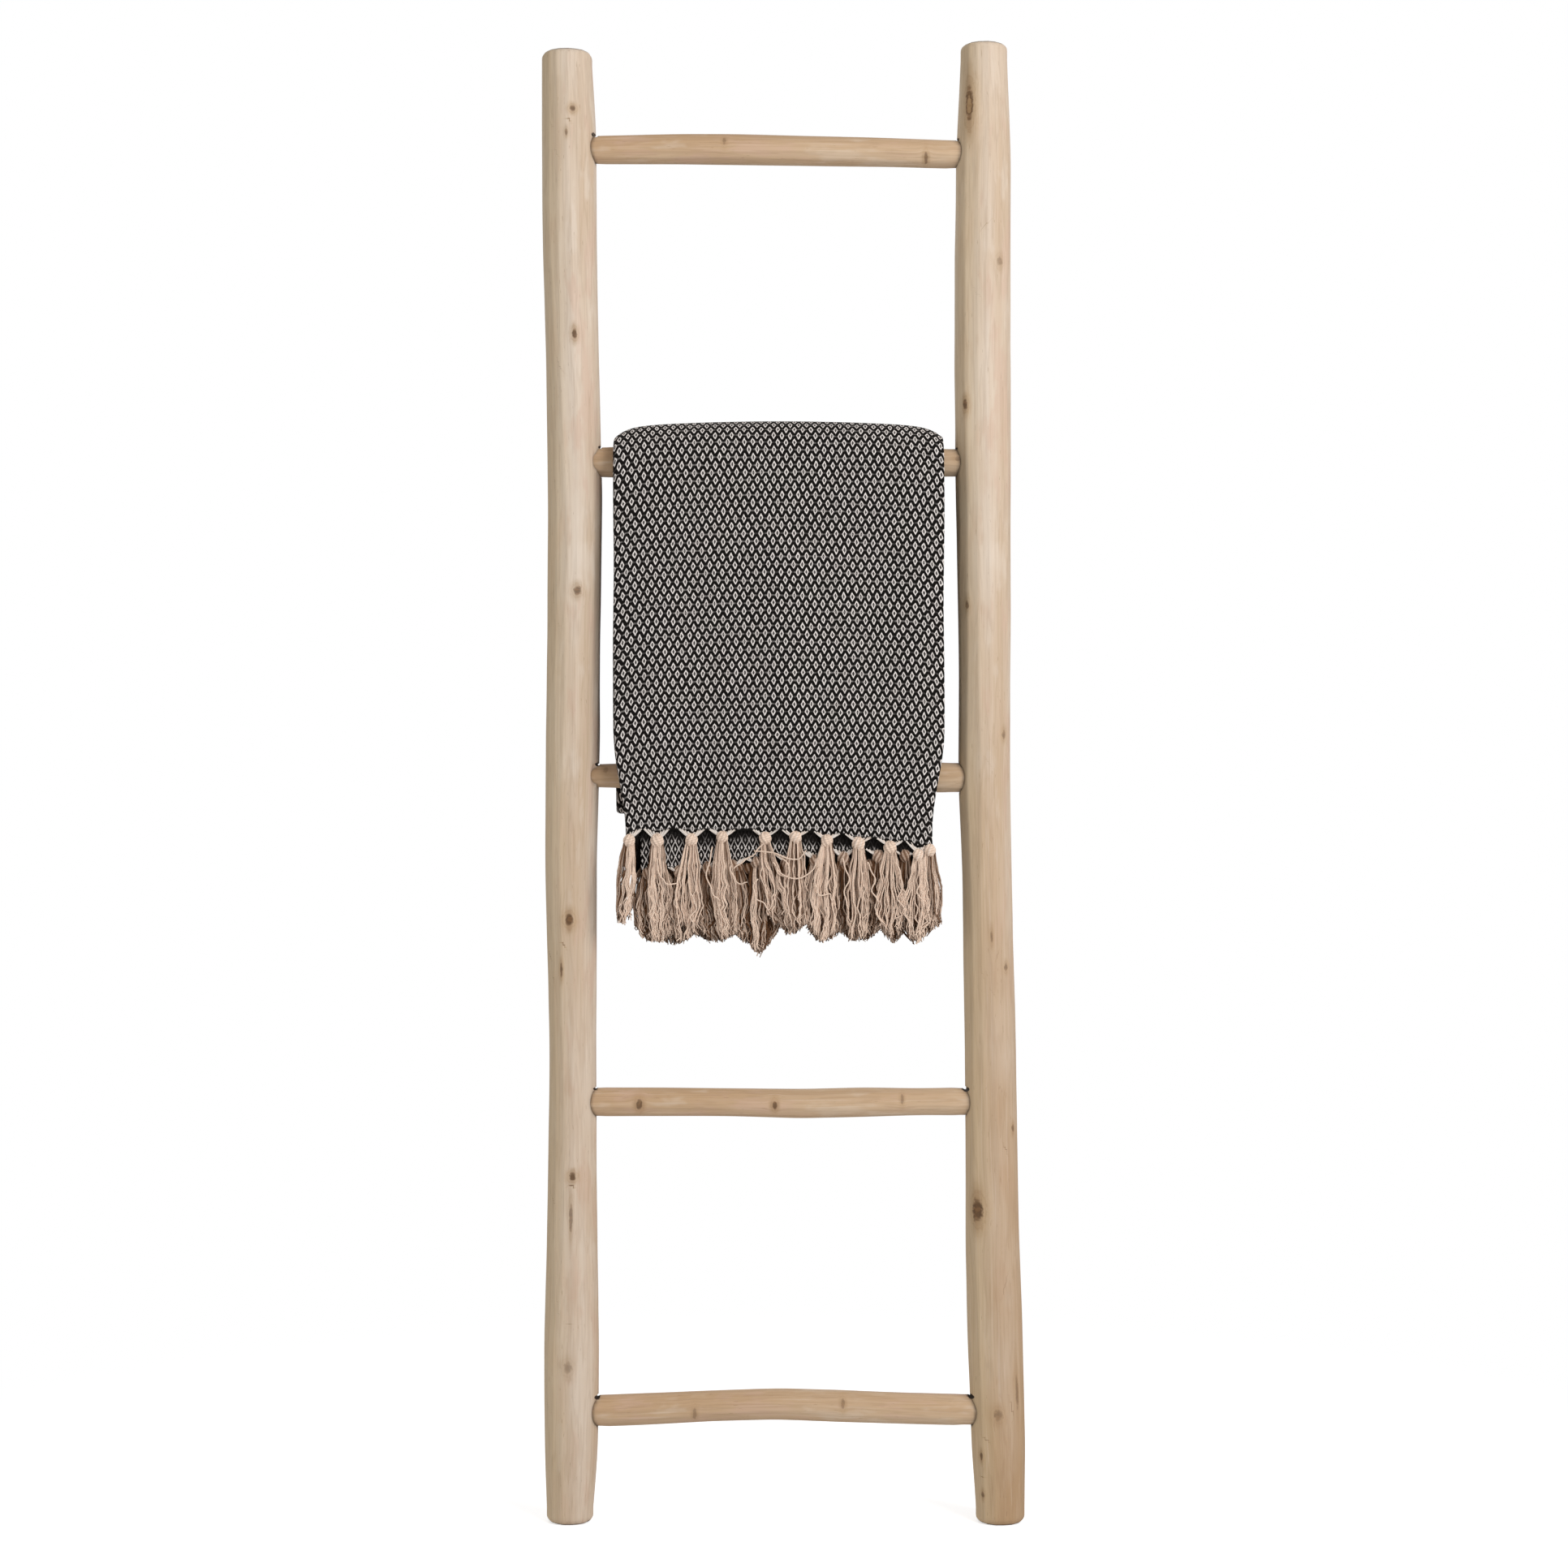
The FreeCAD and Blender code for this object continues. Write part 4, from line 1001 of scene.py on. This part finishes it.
# ---- Fringe ----
class Yarns:
    """Collects strands and knots of one piece, with a tone for each and a map along the yarn. Limits is how far to
    the left and right its tassels may reach."""

    def __init__(self, limits=(-1, 1)):
        self.limits = limits
        self.points, self.faces, self.tones, self.maps, self.count = [], [], [], [], 0

    def strands(self, paths, radii, tones, sides):
        """Tubes along paths (strand, step, xyz), with radii and tones for each strand, or each of its steps."""
        number, steps, _ = paths.shape
        along = np.gradient(paths, axis=1)
        along /= np.linalg.norm(along, axis=2, keepdims=True) + 1e-12
        side = np.cross(along, (0.0, 1.0, 0.05))
        side /= np.linalg.norm(side, axis=2, keepdims=True) + 1e-12
        other = np.cross(along, side)
        turns = full_turn(sides)
        circle = np.cos(turns)[:, None] * side[:, :, None] + np.sin(turns)[:, None] * other[:, :, None]
        rings = paths[:, :, None] + circle * np.asarray(radii)[..., None, None]
        self.points.append(rings.reshape(-1, 3))
        strip = grid_faces(steps, sides, True)[:, ::-1]
        starts = self.count + np.arange(number) * steps * sides
        self.faces.extend((starts[:, None, None] + strip).reshape(-1, 4).tolist())
        for start in starts:
            last = start + (steps - 1) * sides
            self.faces.append(list(range(last, last + sides)))
            self.faces.append(list(range(start, start + sides))[::-1])
        tones = np.broadcast_to(tones if np.ndim(tones) == 2 else np.reshape(tones, (-1, 1)), (number, steps))
        self.tones.append(np.repeat(tones.ravel(), sides))
        pieces = np.linalg.norm(np.diff(paths, axis=1), axis=2)
        lengths = np.concatenate([np.zeros((number, 1)), np.cumsum(pieces, axis=1)], axis=1)
        self.maps.append(np.stack(np.broadcast_arrays(turns / (2 * math.pi), lengths[:, :, None]), -1).reshape(-1, 2))
        self.count += rings.size // 3

    def knot(self, centre, size, tone, rng):
        """Overhand knot: a ball with the yarns' turns as slanting ridges."""
        turns = full_turn(KNOT_SIDES)
        falls = np.linspace(0.12, math.pi - 0.12, KNOT_RINGS)[:, None]
        slant = rng.uniform(1.4, 2.4) * rng.choice([-1, 1])
        ridges = np.sin(KNOT_TURNS * turns + slant * 2 * falls + rng.uniform(0, 6))
        reach = 1 + 0.09 * ridges + 0.05 * np.sin(2 * turns + rng.uniform(0, 6))
        lobes = (np.sin(falls) * np.cos(turns) * reach, np.sin(falls) * np.sin(turns) * reach, np.cos(falls) * reach)
        points = np.asarray(centre) + np.stack(np.broadcast_arrays(*lobes), -1) * size
        self.points.append(points.reshape(-1, 3))
        self.faces.extend((self.count + grid_faces(KNOT_RINGS, KNOT_SIDES, True)[:, ::-1]).tolist())
        self.faces.append(list(range(self.count, self.count + KNOT_SIDES)))
        last = self.count + (KNOT_RINGS - 1) * KNOT_SIDES
        self.faces.append(list(range(last, last + KNOT_SIDES))[::-1])
        self.tones.append((tone + 0.16 * ridges).ravel())
        self.maps.append(np.stack(np.broadcast_arrays(0 * turns, falls * 4 * MM + turns * MM), -1).reshape(-1, 2))
        self.count += KNOT_RINGS * KNOT_SIDES

    def piece(self, name):
        made = mesh_object(name, np.concatenate(self.points), self.faces)
        set_attribute(made, "tone", np.clip(np.concatenate(self.tones), 0, 1))
        set_map(made, "yarn", np.concatenate(self.maps))
        return made


def wavy(rng, number, steps, size, length, wave_length):
    """Random waves for each strand, larger towards its end."""
    along = np.linspace(0, 1, steps)
    total = np.zeros((number, steps))
    for wave in (1.0, 2.3, 4.1):
        start = rng.uniform(0, 2 * math.pi, (number, 1))
        speed = 2 * math.pi * length / wave_length * wave * rng.uniform(0.7, 1.3, (number, 1))
        total += rng.normal(0, 1, (number, 1)) / wave ** 0.8 * np.sin(start + speed * along)
    return total * size * along ** 0.8


def tassel(yarns, rng, place, shift, length, half_width, bunch, fan=1.7, steps=16, sides=5, outer=-1):
    """A knot and the locks of strands under it. place is the knot's middle, and outer the way along Y in which the
    bunch's paler side looks; painted shade darkens its other side."""
    x, y, z = place
    number, depth, shade = bunch
    size = KNOT_RADIUS * rng.uniform(0.92, 1.06)
    # The knots of the rows behind are darkened with painted shade
    yarns.knot(place, (size, min(size * 0.92, depth + 2.6 * MM), size * 1.08), rng.uniform(0.66, 0.8) - shade, rng)
    locks = max(4, number // LOCK_STRANDS)
    lock = np.arange(number) % locks
    lock_spread = (np.linspace(-0.95, 0.95, locks) + rng.normal(0, 0.14, locks))[lock]
    spread = lock_spread + rng.normal(0, 0.8 / locks + 0.05, number)
    layer = np.clip(rng.uniform(-1, 1, locks)[lock] + rng.normal(0, 0.35, number), -1, 1)
    along = np.linspace(0, 1, steps)
    lengths = length * np.clip(rng.normal(0.97, 0.035, locks)[lock] + rng.normal(0, 0.018, number), 0.7, 1.03)
    lengths = lengths * (1 - 0.10 * np.minimum(spread ** 2, 1.5))
    open_out = 1 - (1 - along) ** fan
    gather = 1 - 0.34 * ease((along - 0.55) / 0.45)
    start_x = 0.8 * size * np.clip(spread, -1.1, 1.1)
    path_x = start_x[:, None] * (1 - open_out) + (spread * half_width)[:, None] * open_out * gather
    path_x = x + path_x + shift * along ** 1.2
    path_x = path_x + wavy(rng, locks, steps, LOCK_WAVE, length, LOCK_WAVE_LENGTH)[lock]
    path_x = path_x + wavy(rng, number, steps, STRAND_WAVE, length, WAVE_LENGTH)
    lowest = np.interp(path_x[:, -1] / MM, *zip(*FRINGE_BOTTOM)) * MM + rng.normal(0, CUT_UNEVENNESS, number)
    lengths = np.minimum(lengths, z - 0.4 * size - lowest)
    path_y = y + layer[:, None] * (0.35 * size + (depth - 0.35 * size) * open_out)
    path_y = path_y + wavy(rng, number, steps, SMALL_WAVE, length, WAVE_LENGTH)
    path_z = z - 0.4 * size - lengths[:, None] * along
    path_z = path_z + wavy(rng, number, steps, SMALL_WAVE, length, WAVE_LENGTH)
    curl = rng.uniform(0, 1, number) ** 2 * CURL
    end_part = np.clip((along - 0.75) / 0.25, 0, 1)
    way = rng.uniform(0, 2 * math.pi, number)
    path_x = path_x + (curl * np.cos(way))[:, None] * end_part ** 1.5
    path_z = path_z + (curl * 0.6)[:, None] * end_part ** 2
    low, high = yarns.limits
    path_x = np.where(path_x < low, low + PAST_LIMIT * (path_x - low), path_x)
    path_x = np.where(path_x > high, high + PAST_LIMIT * (path_x - high), path_x)
    paths = np.stack([path_x, path_y, path_z], -1)
    radii = YARN_RADIUS * rng.uniform(0.85, 1.25, (number, 1)) * (1 - 0.25 * end_part ** 3)
    # Painted shade: the bunch's other side, the rows behind (less towards their ends) and the roots are darker
    tones = rng.normal(0.58, 0.16, locks)[lock] + rng.normal(0, 0.28, number) + 0.30 * layer * outer
    tones = tones[:, None] - shade * (1 - 0.62 * along) - 0.16 * np.clip(1 - along / 0.25, 0, 1)
    yarns.strands(paths, radii, np.clip(tones, 0.0, 0.8), sides)


def whiskers(yarns, rng, place, hem, y):
    """The warp ends that run from the hem into one knot."""
    x, _, z = place
    from_x = x + np.linspace(-1, 1, WHISKERS) * WHISKER_REACH + rng.normal(0, 0.6 * MM, WHISKERS)
    from_x = np.clip(from_x, hem[0].min() + 1.5 * MM, hem[0].max() - 1.5 * MM)
    along = np.linspace(0, 1, WHISKER_STEPS)
    top = np.interp(from_x, hem[0], hem[1]) + 2.0 * MM
    path_x = from_x[:, None] + (x + rng.normal(0, 1.2 * MM, WHISKERS) - from_x)[:, None] * along ** 0.9
    path_z = top[:, None] + (z + 1.5 * MM - top)[:, None] * along - 1.6 * MM * np.sin(math.pi * along)
    path_y = y + rng.uniform(-0.9, 0.1, WHISKERS)[:, None] * MM - 1.2 * MM * np.sin(math.pi * along / 2) ** 2
    radii = YARN_RADIUS * rng.uniform(0.8, 1.5, (WHISKERS, 1)) * np.linspace(1.5, 0.9, WHISKER_STEPS)
    yarns.strands(np.stack([path_x, path_y, path_z], -1), radii, rng.uniform(0.93, 1.0, WHISKERS), 5)


def fringe(throw, hems):
    """Eight rows of tassels, one under each hem layer, each with the nodes that it replaces."""
    pieces = []
    for row in range(LAYERS):
        rng = np.random.default_rng(FRINGE_SEED + row)
        inset = OUTER_LIMITS if row < len(SEEN_ROWS) else INNER_LIMITS
        yarns = Yarns((throw.left + inset[0], throw.right - inset[1]))
        y = -throw.outward(row)
        if row < len(SEEN_ROWS):
            tassels, bunch, knot_out, whiskers_out = SEEN_ROWS[row]
            for x, z, shift, length, half_width in tassels:
                place = (x * MM, y - knot_out, z * MM)
                tassel(yarns, rng, place, shift * MM, length * MM, half_width * MM, bunch)
                whiskers(yarns, rng, place, hems[row], y - whiskers_out)
        else:
            bunch, outer = (LAST_BUNCH, 1) if row == LAYERS - 1 else (INNER_BUNCH, -1)
            spots = np.linspace(throw.left + INNER_SPOTS[0], throw.right - INNER_SPOTS[1], INNER_TASSELS)
            spots = spots + rng.normal(0, 2.0 * MM, INNER_TASSELS) + ROW_STAGGER * ((row * 0.382) % 1 - 0.5)
            for spot in spots:
                hem = at_share(INNER_HEMS[row - 2], (spot - throw.left) / throw.width)
                place = (spot, y, hem - INNER_KNOT_DROP)
                length = place[2] - FRINGE_END - rng.uniform(-3, 5) * MM
                shift = rng.normal(0, 2) * MM
                tassel(yarns, rng, place, shift, length, INNER_HALF_WIDTH, bunch, 3.4, 11, 4, outer)
        start = {0: "front_tassel_", 1: "second_tassel_"}.get(row, f"fringe_row_{row + 1}")
        nodes = [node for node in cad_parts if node.startswith(start)]
        pieces.append((yarns.piece(f"tassels_row_{row + 1}"), nodes))
    return pieces


def strays(throw):
    """The strands that have come loose, smoothed through their points, in front of the bunches."""
    rng = np.random.default_rng(STRAY_SEED)
    yarns = Yarns()
    along = np.linspace(0, 1, 40)
    soft = np.hanning(13)[1:-1] / np.hanning(13).sum()
    for points in LOOSE_STRANDS:
        knots = np.linspace(0, 1, len(points))
        x, z = (np.convolve(np.pad(np.interp(along, knots, line), 5, "edge"), soft, "valid")
                for line in np.array(points).T)
        start = rng.uniform(0, 6, 2)
        x = x + 0.8 * np.sin(start[0] + 17 * along)
        y = -throw.outward(0) - FRONT_KNOT_OUT - LOOSE_OUT + MM * np.sin(start[1] + 9 * along)
        radii = YARN_RADIUS * np.where(along < 0.9, 1.25, 1.0)
        yarns.strands(np.stack([x * MM, y, z * MM], -1)[None], radii[None], rng.uniform(0.78, 0.86, 1), 5)
    return yarns.piece("stray_strands")


# ---- The object ----
rail_wood = wood_material("rail_wood", srgb(222, 206, 189), srgb(204, 180, 154), srgb(146, 112, 80), 3.0, 0.5)
rung_wood = wood_material("rung_wood", srgb(210, 183, 153), srgb(194, 161, 126), srgb(140, 106, 74), 17.0, 0.0)
pin_wood = wood_material("pin_wood", srgb(170, 134, 98), srgb(150, 114, 80), srgb(104, 74, 48), 29.0, 0.0)
obverse = weave_material("throw_cloth", False, 2.0)
reverse = weave_material("throw_reverse", True, 5.0)
yarn = yarn_material("fringe_yarn", srgb(241, 215, 194), srgb(100, 66, 40))

rungs = {}
for rung_name in RUNGS:
    box_low, box_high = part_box(rung_name)
    rungs[rung_name] = Pole(rung_name, 0).measure_rung(box_low.x + TENON_DEPTH, box_high.x - TENON_DEPTH)
poles = {}
for side, word in ((LEFT, "left"), (RIGHT, "right")):
    poles[side], pole_piece = rail(side, word + "_rail", rungs)
    dress(pole_piece, "ladder", "rail_wood", rail_wood, word + "_rail")
    back = BVHTree.FromObject(pole_piece, bpy.context.evaluated_depsgraph_get())
    peg_rng = np.random.default_rng(PIN_SEED + side)
    for rung_name, rung_pole in rungs.items():
        peg = pin(rung_name.replace("rung", word + "_peg"), side, poles[side], back, rung_pole, peg_rng)
        dress(peg, "ladder", "pin_wood", pin_wood, rung_name.replace("rung", word + "_pin"))
for rung_name, rung_pole in rungs.items():
    dress(rung(rung_name, rung_pole, poles), "ladder", "rung_wood", rung_wood, rung_name)

throw = Throw(rungs["rung_2"])
cloth, flat_size, front_hems = throw_piece(throw, obverse, reverse)
dress(cloth, "throw", "throw_cloth", obverse, "throw")
fringes = fringe(throw, front_hems)
for tassels, nodes in fringes:
    dress(tassels, "throw", "fringe_yarn", yarn, *nodes)
loose_strands = dress(strays(throw), "throw", "fringe_yarn", yarn)

# ---- Studio ----
scene = bpy.context.scene


def studio_light(name, place, size, energy):
    lamp = bpy.data.lights.new(name, "AREA")
    lamp.shape, lamp.size, lamp.size_y, lamp.energy = "RECTANGLE", size[0], size[1], energy
    made = bpy.data.objects.new(name, lamp)
    made.location = place
    made.rotation_euler = (Vector(LIT_PLACE) - Vector(place)).to_track_quat("-Z", "Y").to_euler()
    scene.collection.objects.link(made)


def studio():
    world = bpy.data.worlds.new("studio")
    world.use_nodes = True
    scene.world = world
    nodes, links = world.node_tree.nodes, world.node_tree.links
    nodes.clear()
    path = nodes.new("ShaderNodeLightPath")
    level = nodes.new("ShaderNodeMapRange")
    level.inputs["To Min"].default_value, level.inputs["To Max"].default_value = WORLD_LIGHT, 1.0
    links.new(path.outputs["Is Camera Ray"], level.inputs["Value"])
    background = nodes.new("ShaderNodeBackground")
    background.inputs["Color"].default_value = (1, 1, 1, 1)
    links.new(level.outputs[0], background.inputs["Strength"])
    output = nodes.new("ShaderNodeOutputWorld")
    links.new(background.outputs[0], output.inputs["Surface"])

    n = Nodes("floor")
    tree = n.tree
    diffuse = n.add("BsdfDiffuse", {"Color": (0.8, 0.8, 0.8, 1)})
    glow = n.add("Emission", {"Color": (1, 1, 1, 1), "Strength": FLOOR_GLOW})
    both = n.add("AddShader", {0: diffuse.outputs[0], 1: glow.outputs[0]})
    far = n.span(n.vector("LENGTH", n.add("TexCoord").outputs["Object"], output="Value"), *FLOOR_FADE)
    white = n.add("Emission", {"Color": (1, 1, 1, 1)})
    seen = n.add("MixShader", {0: far, 1: both.outputs[0], 2: white.outputs[0]})
    camera_ray = n.add("LightPath").outputs["Is Camera Ray"]
    choice = n.add("MixShader", {0: camera_ray, 1: diffuse.outputs[0], 2: seen.outputs[0]})
    tree.links.new(choice.outputs[0], tree.nodes["Material Output"].inputs["Surface"])
    floor = mesh_object("floor", [(x, y, 0) for x, y in ((-9, -5), (9, -5), (9, 9), (-9, 9))], [(0, 1, 2, 3)], False)
    floor.data.materials.append(n.material)

    for light in LIGHTS:
        studio_light(*light)

    camera = bpy.data.cameras.new("camera")
    camera.sensor_width = SENSOR
    camera.lens = SENSOR * CAMERA_DISTANCE / (PHOTO_SIDE * PHOTO_PIXEL)
    made = bpy.data.objects.new("camera", camera)
    made.location = (CAMERA_X, -CAMERA_DISTANCE, CAMERA_HEIGHT)
    made.rotation_euler = (math.pi / 2, 0, 0)
    scene.collection.objects.link(made)
    scene.camera = made
    scene.render.resolution_x = scene.render.resolution_y = PHOTO_SIDE
    scene.view_settings.view_transform = "Standard"


studio()
